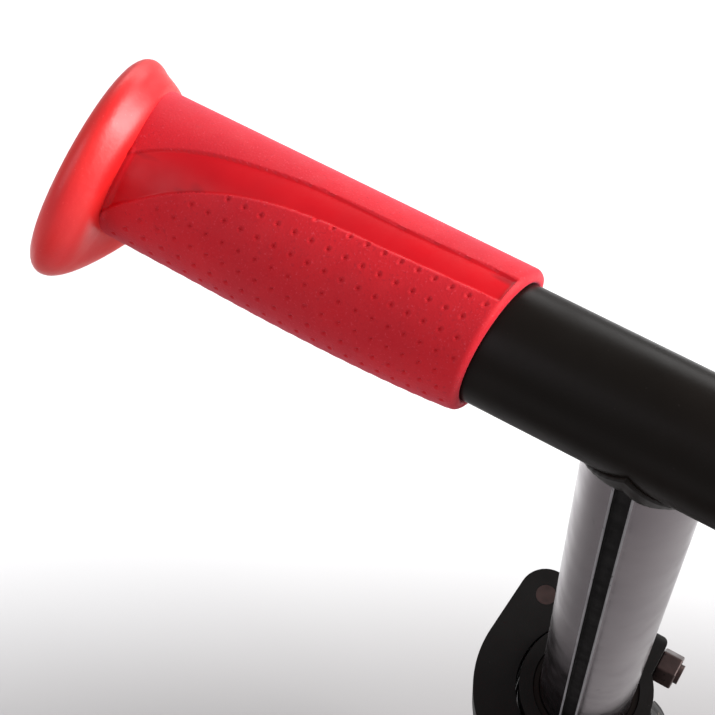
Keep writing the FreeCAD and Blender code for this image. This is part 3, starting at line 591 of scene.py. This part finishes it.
def grip_piece(name, side):
    """One grip as a closed skin: lip, patterned body, flange, and the bore over the bar."""
    turn = np.arange(GRIP_TURNS) * 360.0 / GRIP_TURNS
    folded = grip_angle(turn)
    body_rows = int(round((GRIP_CREASE - GRIP_START) / GRIP_STEP)) + 1
    along = GRIP_START + GRIP_STEP * np.arange(body_rows)
    grid_along, grid_turn = np.meshgrid(along, folded, indexing="ij")
    radius = grip_radius(grid_along, np.broadcast_to(turn, grid_turn.shape))
    cover = panel_cover(grid_along, grid_turn, radius)
    shaped = radius - PANEL_DEPTH * cover - dimple_depth(grid_along, grid_turn, radius) * (1 - cover)
    foot = np.exp(-(((grid_along - GRIP_CREASE + FOOT_BEFORE_CREASE) / FOOT_WIDTH) ** 2))
    foot *= smooth_step((grid_turn - FOOT_FROM) / FOOT_FADE)
    shaped += FOOT_HEIGHT * foot * smooth_step((FOOT_TO - grid_turn) / FOOT_FADE)
    lip = np.clip(1.0 - (grid_along - GRIP_START) / LIP_LENGTH, 0.0, 1.0)
    shaped -= LIP_DROP * (1.0 - np.sqrt(np.clip(1.0 - lip**2, 0.0, 1.0)))
    shifted = grid_along + end_slant(grid_turn) * smooth_step((SLANT_END - grid_along) / SLANT_FADE)
    crease_near = smooth_step((grid_along - CREASE_BLEND) / (GRIP_CREASE - CREASE_BLEND))
    shifted += crease_shift(grid_turn) * crease_near
    angle = np.radians(np.broadcast_to(turn, grid_turn.shape))
    body = np.stack([shifted, shaped * np.cos(angle), shaped * np.sin(angle)], axis=2)

    bore_radius = BAR_RADIUS + BORE_GAP
    wall = np.stack([np.zeros(GRIP_TURNS), np.cos(angle[0]), np.sin(angle[0])], axis=1)
    ends = body[0, :, 0]
    rings = []
    for depth in BORE_DEPTHS:
        ring = wall * bore_radius
        ring[:, 0] = depth
        rings.append(ring)
    for wider, inset in BORE_MOUTH:
        ring = wall * (bore_radius + wider)
        ring[:, 0] = ends + inset
        rings.append(ring)
    lead = len(rings)
    rings += list(body)
    rings += flange_rings(turn, body[-1])
    column = [column_points(side * ring[:, 0], ring[:, 1], ring[:, 2]) for ring in rings]
    verts, faces = rings_mesh(column)
    obj = piece(name + "_rubber", verts, faces, MATTE, "handlebar", [name], sharp=55.0)
    obj.data.materials.append(PANEL)
    obj.data.materials.append(FLANGE)
    flags = np.zeros(len(faces), int)
    face_cover = (cover[:-1] + cover[1:]) / 2
    face_cover = (face_cover + np.roll(face_cover, -1, axis=1)) / 2
    first = lead * GRIP_TURNS
    flags[first:first + face_cover.size] = (face_cover.ravel() > 0.5) * PANEL_SLOT
    flags[(lead + body_rows - 1) * GRIP_TURNS:(len(rings) - 1) * GRIP_TURNS] = FLANGE_SLOT
    flags[-GRIP_TURNS:] = FLANGE_SLOT
    obj.data.polygons.foreach_set("material_index", flags.astype(np.int32))


grip_piece("grip_left", 1)
grip_piece("grip_right", -1)


# ---------------------------------------------------------------- bar, stem and weld

STEM_ROWS = 40
STEM_INTO_BAR = 0.6
GROOVE_HALF = 1.7
GROOVE_SLOT, EDGE_SLOT = 1, 2
CHANNEL = [
    (1.78, 0.06, EDGE_SLOT), (1.6, 0.06, EDGE_SLOT), (1.58, -0.2, GROOVE_SLOT), (1.56, -0.95, GROOVE_SLOT),
    (1.4, -1.15, GROOVE_SLOT), (0.7, -1.2, GROOVE_SLOT), (0.25, -1.12, GROOVE_SLOT),
]
WELD_STEPS, WELD_AROUND = 420, 20
WELD_SIZE = 0.95
WELD_RIPPLES = 52
WELD_TONGUE = 4.4
# Both in radians, round the stem from its rear.
WELD_REAR_TURN, WELD_REAR_SPREAD = 0.1, 0.5


def bar_piece():
    """The straight bar, with rolled ends inside the grips."""
    wall = (BAR_BORE, BAR_RADIUS)
    profile = [(radius, -BAR_HALF_LENGTH) for radius in wall]
    profile += [(radius, BAR_HALF_LENGTH) for radius in reversed(wall)]
    verts, faces = turned(profile, BAR_CENTRE, LEFT, segments=160, bevel=0.5)
    piece("handlebar_tube_finish", verts, faces, BLACK, "handlebar", ["handlebar_tube"])


def stem_section():
    """Outline of the stem: a circle with a square channel down its rear, all edges eased.

    Each point is (across, back, material slot).
    """
    edge = math.asin(GROOVE_HALF / STEM_RADIUS)
    points = []
    for angle in np.linspace(edge + 0.03, 2 * math.pi - edge - 0.03, 150):
        points.append((STEM_RADIUS * math.sin(angle), STEM_RADIUS * math.cos(angle), 0))
    rim = STEM_RADIUS * math.cos(edge)
    points += [(-across, rim + depth, slot) for across, depth, slot in CHANNEL]
    points += [(across, rim + depth, slot) for across, depth, slot in reversed(CHANNEL)]
    return points


def stem_piece():
    """Chrome stem, mitred into the bar."""
    section = stem_section()
    across = np.array([point[0] for point in section])
    back = np.array([point[1] for point in section])
    mitre = -np.sqrt(np.clip(BAR_RADIUS**2 - back**2, 0.0, None)) + STEM_INTO_BAR
    rings = []
    for depth in np.linspace(0.0, 1.0, STEM_ROWS):
        rings.append(column_points(across, mitre * (1 - depth) - STEM_LENGTH * depth, back))
    verts, faces = rings_mesh(rings)
    obj = piece(
        "stem_tube_finish", verts, faces, CHROME, "handlebar", ["stem_tube"], sharp=18.0,
    )
    # The groove gets painted shade, and its lips a painted highlight.
    obj.data.materials.append(GROOVE)
    obj.data.materials.append(GROOVE_HIGHLIGHT)
    columns = len(section)
    for face in obj.data.polygons:
        column = face.index % columns
        pair = (section[column][2], section[(column + 1) % columns][2])
        if face.index < columns * (STEM_ROWS - 1) and max(pair):
            face.material_index = max(pair)


def weld_piece():
    """Painted-over weld round the joint of bar and stem, rippled, with a smooth tongue at the rear."""
    bar_up = np.array([0.0, 1.0, 0.0])
    rings = []
    for step in range(WELD_STEPS):
        turn = 2 * math.pi * (step + 0.5) / WELD_STEPS
        back = STEM_RADIUS * math.cos(turn)
        across = STEM_RADIUS * math.sin(turn)
        centre = np.array([across, -math.sqrt(max(BAR_RADIUS**2 - back**2, 0.0)), back])
        outward = np.array([math.sin(turn), -0.35, math.cos(turn)])
        outward /= np.linalg.norm(outward)
        past_rear = (turn + WELD_REAR_TURN + math.pi) % (2 * math.pi) - math.pi
        rear = math.exp(-((past_rear / WELD_REAR_SPREAD) ** 2))
        ripple = 0.03 * math.sin(step * 2 * math.pi * WELD_RIPPLES / WELD_STEPS)
        ripple += 0.05 * math.sin(turn * 5.0 + 1.3)
        size = WELD_SIZE + ripple * (1 - rear) - 0.2 * abs(math.cos(turn)) ** 6
        upward = bar_up - bar_up @ outward * outward
        upward /= np.linalg.norm(upward)
        tongue = size + WELD_TONGUE * rear
        ring = []
        for index in range(WELD_AROUND):
            angle = 2 * math.pi * index / WELD_AROUND
            rise = size * upward if angle < math.pi else tongue * bar_up
            ring.append(centre + size * math.cos(angle) * outward + math.sin(angle) * rise)
        rings.append(np.array(ring))
    column = [column_points(ring[:, 0], ring[:, 1], ring[:, 2]) for ring in rings]
    verts = [tuple(point) for ring in column for point in ring]
    faces = grid_faces(WELD_STEPS, WELD_AROUND, looped=True)
    piece("stem_weld_bead", verts, faces, BLACK, "handlebar", ["stem_weld"], sharp=80.0)


bar_piece()
stem_piece()
weld_piece()


# ---------------------------------------------------------------- frame and fork welds

JOINT_GAP = 0.3
# In radians: an edge that turns by more counts as sharp.
JOINT_ANGLE = 0.35
BEAD_SPACING = 0.45
BEAD_RIPPLE = 2.3
BEAD_AROUND = 12
BEADS = (
    ("main_tube", "head_tube", 2.0),
    ("lower_bridge", "seat_tube", 1.5),
    ("upper_bridge", "seat_tube", 1.5),
    ("chainstay_left", "lower_bridge", 1.3),
    ("chainstay_right", "lower_bridge", 1.3),
    ("seatstay_left", "upper_bridge", 1.3),
    ("seatstay_right", "upper_bridge", 1.3),
    ("fork_blade_left", "fork_crown", 1.2),
    ("fork_blade_right", "fork_crown", 1.2),
)


def row_mesh(name):
    """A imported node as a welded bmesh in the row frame."""
    mesh = bmesh.new()
    mesh.from_mesh(nodes[name].data)
    mesh.transform(nodes[name].matrix_world)
    bmesh.ops.remove_doubles(mesh, verts=mesh.verts, dist=0.02 * MM)
    return mesh


def loop_length(points):
    """Length of a closed loop of points."""
    if len(points) == 0:
        return 0.0
    return float(np.linalg.norm(points - np.roll(points, 1, axis=0), axis=1).sum())


def joint_loop(name, neighbour):
    """The longest closed run of sharp edges where a tube ends on the wall of its neighbour."""
    tube, wall = row_mesh(name), row_mesh(neighbour)
    tree = BVHTree.FromBMesh(wall)
    touching = {vertex.index for vertex in tube.verts if tree.find_nearest(vertex.co)[3] < JOINT_GAP * MM}
    links = {}
    for edge in tube.edges:
        first, second = (vertex.index for vertex in edge.verts)
        hard = len(edge.link_faces) == 2 and edge.calc_face_angle() > JOINT_ANGLE
        if hard and {first, second} <= touching:
            links.setdefault(first, []).append(second)
            links.setdefault(second, []).append(first)
    tube.verts.ensure_lookup_table()
    best = []
    seen = set()
    for start in links:
        if start in seen:
            continue
        run = [start]
        seen.add(start)
        while True:
            ahead = [index for index in links[run[-1]] if index not in seen]
            if not ahead:
                break
            run.append(ahead[0])
            seen.add(ahead[0])
        points = np.array([tube.verts[index].co for index in run]) / MM
        if len(run) > 8 and run[0] in links[run[-1]] and loop_length(points) > loop_length(best):
            best = points
    tube.free()
    wall.free()
    return best


def frame_weld(name, neighbour, size):
    """Painted-over weld bead, with its row of overlapping ripples, round a joint of the frame."""
    loop = joint_loop(name, neighbour)
    closed = np.vstack([loop, loop[:1]])
    run = np.concatenate([[0.0], np.cumsum(np.linalg.norm(np.diff(closed, axis=0), axis=1))])
    count = int(run[-1] / BEAD_SPACING)
    wanted = np.linspace(0.0, run[-1], count, endpoint=False)
    line = np.stack([np.interp(wanted, run, closed[:, axis]) for axis in range(3)], axis=1)
    for _ in range(3):
        line = (np.roll(line, 1, axis=0) + 2 * line + np.roll(line, -1, axis=0)) / 4
    ripples = round(run[-1] / BEAD_RIPPLE)
    verts = []
    for index in range(count):
        _, across, over = frame_on(line[(index + 1) % count] - line[index - 1])
        ripple = 0.1 * abs(math.sin(math.pi * ripples * index / count))
        swell = size * (1 + ripple + 0.05 * math.sin(index * 0.37))
        for step in range(BEAD_AROUND):
            angle = 2 * math.pi * step / BEAD_AROUND
            verts.append(tuple(line[index] + swell * (math.cos(angle) * across + math.sin(angle) * over)))
    faces = grid_faces(count, BEAD_AROUND, looped=True)
    body = "fork" if name.startswith("fork") else "frame"
    material, slot = (BLACK, "black_paint") if body == "fork" else (GLOSS, "frame_paint")
    piece(name + "_" + neighbour + "_weld", verts, faces, material, body, sharp=80.0)


for tube_name, wall_name, bead_size in BEADS:
    frame_weld(tube_name, wall_name, bead_size)


# ---------------------------------------------------------------- carried-over nodes

SEAM_GAP = 0.01
HARD_EDGE = math.radians(35.0)


def dress(name, material, bevel):
    """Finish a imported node: weld its split seams, ease its hard edges and give it a material."""
    obj = nodes[name]
    mesh = obj.data
    if "custom_normal" in mesh.attributes:
        mesh.attributes.remove(mesh.attributes["custom_normal"])
    mesh.materials.clear()
    mesh.materials.append(material)
    mesh.shade_smooth()
    weld = obj.modifiers.new("weld", "WELD")
    weld.merge_threshold = SEAM_GAP * MM
    eased = obj.modifiers.new("eased", "BEVEL")
    eased.width = bevel * MM
    eased.segments = 2
    eased.limit_method = "ANGLE"
    eased.angle_limit = HARD_EDGE
    eased.harden_normals = True
    eased.use_clamp_overlap = True


FINISHES = {
    "steerer_tube": (BLACK, 0.3), "guide_key": (STEEL, 0.1), "headset_locknut": (HEADSET, 0.5),
    "crown_race": (STEEL, 0.3), "fork_crown": (BLACK, 0.8), "fork_blade_left": (BLACK, 0.3),
    "fork_blade_right": (BLACK, 0.3), "fork_dropout_left": (BLACK, 0.6), "fork_dropout_right": (BLACK, 0.6),
    "head_tube": (GLOSS, 0.5), "headset_cup_upper": (HEADSET, 0.5), "headset_cup_lower": (HEADSET, 0.5),
    "headset_bearings": (STEEL, 0.2), "main_tube": (GLOSS, 0.3), "seat_tube": (GLOSS, 0.4),
    "lower_bridge": (GLOSS, 0.5), "upper_bridge": (GLOSS, 0.5), "chainstay_left": (GLOSS, 0.3),
    "chainstay_right": (GLOSS, 0.3), "seatstay_left": (GLOSS, 0.3), "seatstay_right": (GLOSS, 0.3),
    "rear_dropout_left": (GLOSS, 0.6), "rear_dropout_right": (GLOSS, 0.6),
    "seat_post": (CHROME, 0.3), "saddle_bracket": (BLACK, 0.6), "saddle_bolts": (STEEL, 0.4),
    "saddle_base": (SHELL, 1.2),
}
for prefix in ("clamp", "seat_clamp"):
    FINISHES[prefix + "_collar"] = (CLAMP, 0.6)
    FINISHES[prefix + "_washer"] = (STEEL, 0.12)
    FINISHES[prefix + "_nut"] = (DARK_STEEL, 0.4)
    FINISHES[prefix + "_skewer"] = (DARK_STEEL, 0.3)
    FINISHES[prefix + "_pin"] = (DARK_STEEL, 0.25)
    FINISHES[prefix + "_lever"] = (LEVER, 1.3)
for prefix in ("front", "rear"):
    FINISHES[prefix + "_rim"] = (WHEEL, 1.0)
    FINISHES[prefix + "_wheel_bearings"] = (STEEL, 0.4)
    FINISHES[prefix + "_axle"] = (STEEL, 0.5)
    FINISHES[prefix + "_axle_spacers"] = (STEEL, 0.4)
    FINISHES[prefix + "_axle_washers"] = (STEEL, 0.3)
    FINISHES[prefix + "_axle_nuts"] = (STEEL, 0.5)
for node_name, (finish_material, bevel_width) in FINISHES.items():
    dress(node_name, finish_material, bevel_width)


# ---------------------------------------------------------------- tyres

TYRE_STEPS = 768
TREAD_BLOCKS = 48
TREAD_DEPTH = 1.5
TREAD_FROM = 88.0
TREAD_POINTS, TREAD_HALF = 45, 18.6
SIDEWALL = [(76.0, 14.0), (78.5, 16.6), (82.0, 18.2), (86.0, 18.9)]


def tyre_section():
    """Tyre outline from one bead over the tread to the other: (radius, side) points."""
    points = [(radius, -side) for radius, side in SIDEWALL]
    for side in np.linspace(-TREAD_HALF, TREAD_HALF, TREAD_POINTS):
        share = abs(side) / 19.0
        points.append((WHEEL_RADIUS - 10.5 * share**3.2, side))
    return points + SIDEWALL[::-1]


def tread_cut(side, turn):
    """Depth of the moulded tread: two rain grooves, slanted shoulder slots and middle chevrons."""
    grooves = smooth_step(1.6 - np.abs(np.abs(side) - 6.2) / 0.8)
    slant = turn * TREAD_BLOCKS / (2 * math.pi) + np.sign(side) * 0.25 + np.abs(side) * 0.028
    slot = smooth_step((0.17 - np.abs(slant % 1.0 - 0.5)) / 0.06)
    shoulder = smooth_step((np.abs(side) - 8.2) / 0.7) * smooth_step((18.4 - np.abs(side)) / 1.0)
    middle = turn * TREAD_BLOCKS / (2 * math.pi) + 0.25 - np.abs(side) * 0.05
    chevron = smooth_step((0.09 - np.abs(middle % 1.0 - 0.5)) / 0.05)
    chevron = chevron * smooth_step((4.6 - np.abs(side)) / 0.6)
    return TREAD_DEPTH * np.maximum(np.maximum(grooves, slot * shoulder), 0.7 * chevron)


def tyre_piece(end, centre_x):
    """Solid foam tyre with its tread, for the wheel at one end."""
    section = tyre_section()
    radius = np.array([point[0] for point in section])
    side = np.array([point[1] for point in section])
    rings = []
    for turn in np.linspace(0.0, 2 * math.pi, TYRE_STEPS, endpoint=False):
        deep = radius - tread_cut(side, turn) * (radius > TREAD_FROM)
        forward, upward = centre_x + deep * math.cos(turn), WHEEL_RADIUS + deep * math.sin(turn)
        rings.append(np.stack([forward, side, upward], axis=1))
    verts = [tuple(point) for ring in rings for point in ring]
    faces = grid_faces(TYRE_STEPS, len(section), looped=True)
    name = end + "_tyre"
    piece(name + "_tread", verts, faces, TYRE, end + "_wheel", [name], sharp=50.0)


tyre_piece("front", AXLE_X)
tyre_piece("rear", -AXLE_X)


# ---------------------------------------------------------------- saddle

NOSE_X, NOSE_RADIUS = -60.0, 21.0
REAR_X, REAR_RADIUS = -160.0, 55.0
PAD_BOTTOM, PAD_HEIGHT = 338.0, 24.0
PAD_SPINE = (-150.0, -66.0)
PAD_SHARES = (0.0, 0.03, 0.08, 0.15, 0.25, 0.38, 0.55, 0.75, 0.97)
VOXEL = 3.5
PUFF_PRESSURE, PUFF_FRAMES, PUFF_LIMIT = 4.0, 20, 2.6
SEAMS = (10.0, 13.2)
STITCHES, STITCH_SIZE, STITCH_SHARE = 108, 0.42, 0.66
PIPING_POINTS, PIPING_SIZE, PIPING_RISE = 260, 2.1, 1.9


def saddle_outline(shrink, count=180):
    """Pear-shaped outline of the saddle as (x, y) points, drawn in by `shrink`."""
    nose, rear = NOSE_RADIUS - shrink, REAR_RADIUS - shrink
    tilt = math.acos((rear - nose) / (NOSE_X - REAR_X))
    arcs = []
    for centre_x, radius, start, end, steps in (
        (NOSE_X, nose, -tilt, tilt, 40), (REAR_X, rear, tilt, 2 * math.pi - tilt, 80),
    ):
        for a in np.linspace(start, end, steps):
            arcs.append((centre_x + radius * math.cos(a), radius * math.sin(a)))
    loop = np.array(arcs + arcs[:1])
    run = np.concatenate([[0], np.cumsum(np.hypot(*np.diff(loop, axis=0).T))])
    wanted = np.linspace(0, run[-1], count, endpoint=False)
    return np.stack([np.interp(wanted, run, loop[:, axis]) for axis in (0, 1)], axis=1)


def pad_top(x, share):
    """Height of the pad: crowned across, dipped where the rider sits and raised behind."""
    dip = 3.2 * math.exp(-(((x + 128.0) / 32.0) ** 2))
    rear = 1.6 * smooth_step((-165.0 - x) / 35.0)
    crown = math.sqrt(max(1 - (1 - share) ** 2.6, 0.0))
    return PAD_BOTTOM + (PAD_HEIGHT - 2.6 + rear - dip * share) * crown


def apply_modifiers(obj):
    """Bake the modifiers into the mesh as it is now."""
    graph = bpy.context.evaluated_depsgraph_get()
    baked = bpy.data.meshes.new_from_object(obj.evaluated_get(graph), depsgraph=graph)
    obj.modifiers.clear()
    obj.data = baked


def saddle_pad_piece():
    """Foam pad under a stretched cover, puffed up by a short cloth run."""
    rings = []
    edge = saddle_outline(1.6)
    spine = np.stack([np.clip(edge[:, 0], *PAD_SPINE), np.zeros(len(edge))], axis=1)
    for share in PAD_SHARES:
        flat = edge + (spine - edge) * share
        rings.append([(x, y, pad_top(x, share) if share else PAD_BOTTOM + 0.4) for x, y in flat])
    verts, faces = rings_mesh(rings)
    obj = piece(
        "saddle_cushion", verts, faces, VINYL, "saddle", ["saddle_pad"], sharp=180.0,
    )
    remesh = obj.modifiers.new("even", "REMESH")
    remesh.mode = "VOXEL"
    remesh.voxel_size = VOXEL * MM
    apply_modifiers(obj)
    before = np.array([vertex.co for vertex in obj.data.vertices])
    held = obj.vertex_groups.new(name="held")
    held.add([i for i, co in enumerate(before) if co[2] < (PAD_BOTTOM + 3.0) * MM], 1.0, "REPLACE")
    cloth = obj.modifiers.new("cloth", "CLOTH")
    cloth.settings.use_pressure = True
    cloth.settings.uniform_pressure_force = PUFF_PRESSURE
    cloth.settings.effector_weights.gravity = 0.0
    cloth.settings.vertex_group_mass = "held"
    for number in range(1, PUFF_FRAMES + 1):
        bpy.context.scene.frame_set(number)
    apply_modifiers(obj)
    bpy.context.scene.frame_set(1)
    after = np.array([vertex.co for vertex in obj.data.vertices])
    move = after - before
    far = np.linalg.norm(move, axis=1)[:, None]
    after = before + move * np.minimum(1.0, PUFF_LIMIT * MM / np.maximum(far, 1e-9))
    obj.data.vertices.foreach_set("co", after.ravel())
    obj.modifiers.new("even", "SMOOTH").iterations = 6
    obj.modifiers.new("fine", "SUBSURF").levels = 1
    apply_modifiers(obj)
    obj.data.shade_smooth()
    return obj


def surface_above(tree, x, y):
    """Point and normal of the pad straight above a place."""
    place, normal, _, _ = tree.ray_cast(Vector((x * MM, y * MM, 0.5)), Vector((0, 0, -1)))
    return np.array(place) / MM, np.array(normal)


def stitches(cushion):
    """Double row of stitches that follows the edge of the cover."""
    graph = bpy.context.evaluated_depsgraph_get()
    tree = BVHTree.FromObject(cushion, graph)
    parts = []
    for shrink in SEAMS:
        loop = saddle_outline(shrink, STITCHES)
        for index, here in enumerate(loop):
            ahead = loop[(index + 1) % len(loop)]
            start, normal = surface_above(tree, *here)
            end, _ = surface_above(tree, *(here + (ahead - here) * STITCH_SHARE))
            direction = (end - start) / np.linalg.norm(end - start)
            side = np.cross(normal, direction)
            rings = []
            for t in np.linspace(0.0, 1.0, 7):
                size = STITCH_SIZE * math.sqrt(max(1 - (2 * t - 1) ** 4, 0.02))
                middle = start + (end - start) * t + normal * (0.28 - 0.5 * (2 * t - 1) ** 4)
                angles = np.linspace(0, 2 * math.pi, 8, endpoint=False)
                rings.append([middle + size * (math.cos(a) * side + math.sin(a) * normal) for a in angles])
            parts.append(rings_mesh(rings))
    verts, faces = merged(parts)
    piece("saddle_stitches", verts, faces, THREAD, "saddle", sharp=180.0)


def piping():
    """Welt round the bottom edge of the cover."""
    loop = saddle_outline(0.4, PIPING_POINTS)
    rings = []
    for index, (x, y) in enumerate(loop):
        ahead = loop[(index + 1) % len(loop)] - loop[index - 1]
        tangent = np.array([ahead[0], ahead[1], 0.0]) / np.linalg.norm(ahead)
        out = np.array([tangent[1], -tangent[0], 0.0])
        size = PIPING_SIZE + 0.05 * math.sin(index * 1.9)
        angles = np.linspace(0, 2 * math.pi, 14, endpoint=False)
        centre = np.array([x, y, PAD_BOTTOM + PIPING_RISE])
        above = np.array([0, 0, 1.0])
        rings.append([centre + size * (math.cos(a) * out + math.sin(a) * above) for a in angles])
    rings.append(rings[0])
    verts, faces = rings_mesh(rings, capped=False)
    obj = piece("saddle_piping", verts, faces, VINYL, "saddle", sharp=180.0)
    weld = obj.modifiers.new("weld", "WELD")
    weld.merge_threshold = 0.001 * MM
    apply_modifiers(obj)
    obj.data.shade_smooth()


stitches(saddle_pad_piece())
piping()


# ---------------------------------------------------------------- floor, light and camera

# Lengths from here on are in metres.
FLOOR_HALF = 14.0
SHADE_CENTRE = (-0.52, -0.58, 0.0)
SHADE_FROM, SHADE_FULL = 1.305, 1.085
SHADE_REACH, SHADE_CORE = 1.5, 0.48
LENS = 90.63
CAMERA_PLACE = (-0.12149, -0.02601, 0.78297)
CAMERA_RIGHT = (0.4919, -0.8604, 0.1330)
CAMERA_UP = (0.5941, 0.4434, 0.6712)


def floor_piece():
    """Wide pale studio floor, with painted shade: grey round the object, so the lower background looks
    shadowed.
    """
    mesh = bpy.data.meshes.new("studio_floor")
    corners = [(x * FLOOR_HALF, y * FLOOR_HALF, 0) for x, y in ((-1, -1), (1, -1), (1, 1), (-1, 1))]
    mesh.from_pydata(corners, [], [(0, 1, 2, 3)])
    made = Surface("studio_floor", 0.8, Specular_IOR_Level=0.1)
    made.colour(srgb(242, 242, 242), srgb(238, 238, 239), scale=1.5)
    away = made.node("ShaderNodeVectorMath", operation="DISTANCE")
    made.link(made.place, away.inputs[0])
    away.inputs[1].default_value = SHADE_CENTRE
    near = made.between(away.outputs["Value"], SHADE_FROM, SHADE_FULL)
    near.node.interpolation_type = "SMOOTHSTEP"
    middle = made.node("ShaderNodeVectorMath", operation="LENGTH")
    made.link(made.place, middle.inputs[0])
    around = made.between(middle.outputs["Value"], SHADE_REACH, SHADE_CORE)
    around.node.interpolation_type = "SMOOTHSTEP"
    # Painted shade: the floor colour turns grey round the object.
    made.paint = made.mix(made.product(near, around), made.paint, srgb(163, 161, 161))
    made.grain(made.noise(60.0), 0.05, 0.2)
    mesh.materials.append(made.finish(0.05, 3.0))
    obj = bpy.data.objects.new("studio_floor", mesh)
    bpy.context.scene.collection.objects.link(obj)


def softbox(name, place, target, width, height, power, colour=(1.0, 1.0, 1.0)):
    """Rectangular area light at a place in metres, turned to its target. Power is in watts."""
    light = bpy.data.lights.new(name, "AREA")
    light.shape = "RECTANGLE"
    light.size, light.size_y = width, height
    light.energy = power
    light.color = colour
    obj = bpy.data.objects.new(name, light)
    bpy.context.scene.collection.objects.link(obj)
    obj.location = place
    obj.visible_camera = False
    aim = Vector(target) - Vector(place)
    obj.rotation_euler = aim.to_track_quat("-Z", "Y").to_euler()


def studio_world():
    """Soft white light from all round."""
    world = bpy.data.worlds.new("studio")
    world.use_nodes = True
    back = world.node_tree.nodes["Background"]
    back.inputs["Color"].default_value = (1.0, 1.0, 1.0, 1.0)
    back.inputs["Strength"].default_value = 0.4
    bpy.context.scene.world = world


def photo_camera():
    """Camera at the photograph's viewing angle."""
    data = bpy.data.cameras.new("camera")
    data.sensor_width = 36.0
    data.lens = LENS
    data.clip_start = 0.01
    data.clip_end = 50.0
    camera = bpy.data.objects.new("camera", data)
    bpy.context.scene.collection.objects.link(camera)
    right = Vector(CAMERA_RIGHT).normalized()
    back = right.cross(Vector(CAMERA_UP).normalized()).normalized()
    axes = Matrix((right, back.cross(right), back)).transposed()
    camera.matrix_world = Matrix.Translation(CAMERA_PLACE) @ axes.to_4x4()
    bpy.context.scene.camera = camera


floor_piece()
studio_world()
softbox("key", (0.72, -1.15, 1.45), (0.08, 0.08, 0.56), 1.0, 1.0, 35.0)
softbox("front_sweep", (1.35, 0.5, 1.05), (0.85, 0.35, 0.0), 1.6, 0.9, 10.0)
softbox("side", (0.45, -1.35, 0.62), (0.06, 0.1, 0.56), 1.1, 0.9, 15.0)
softbox("rear_fill", (-1.5, 1.2, 1.9), (0.0, 0.0, 0.3), 1.6, 1.6, 13.0, (0.95, 0.9, 1.0))
bpy.context.scene.view_settings.view_transform = "Standard"
photo_camera()
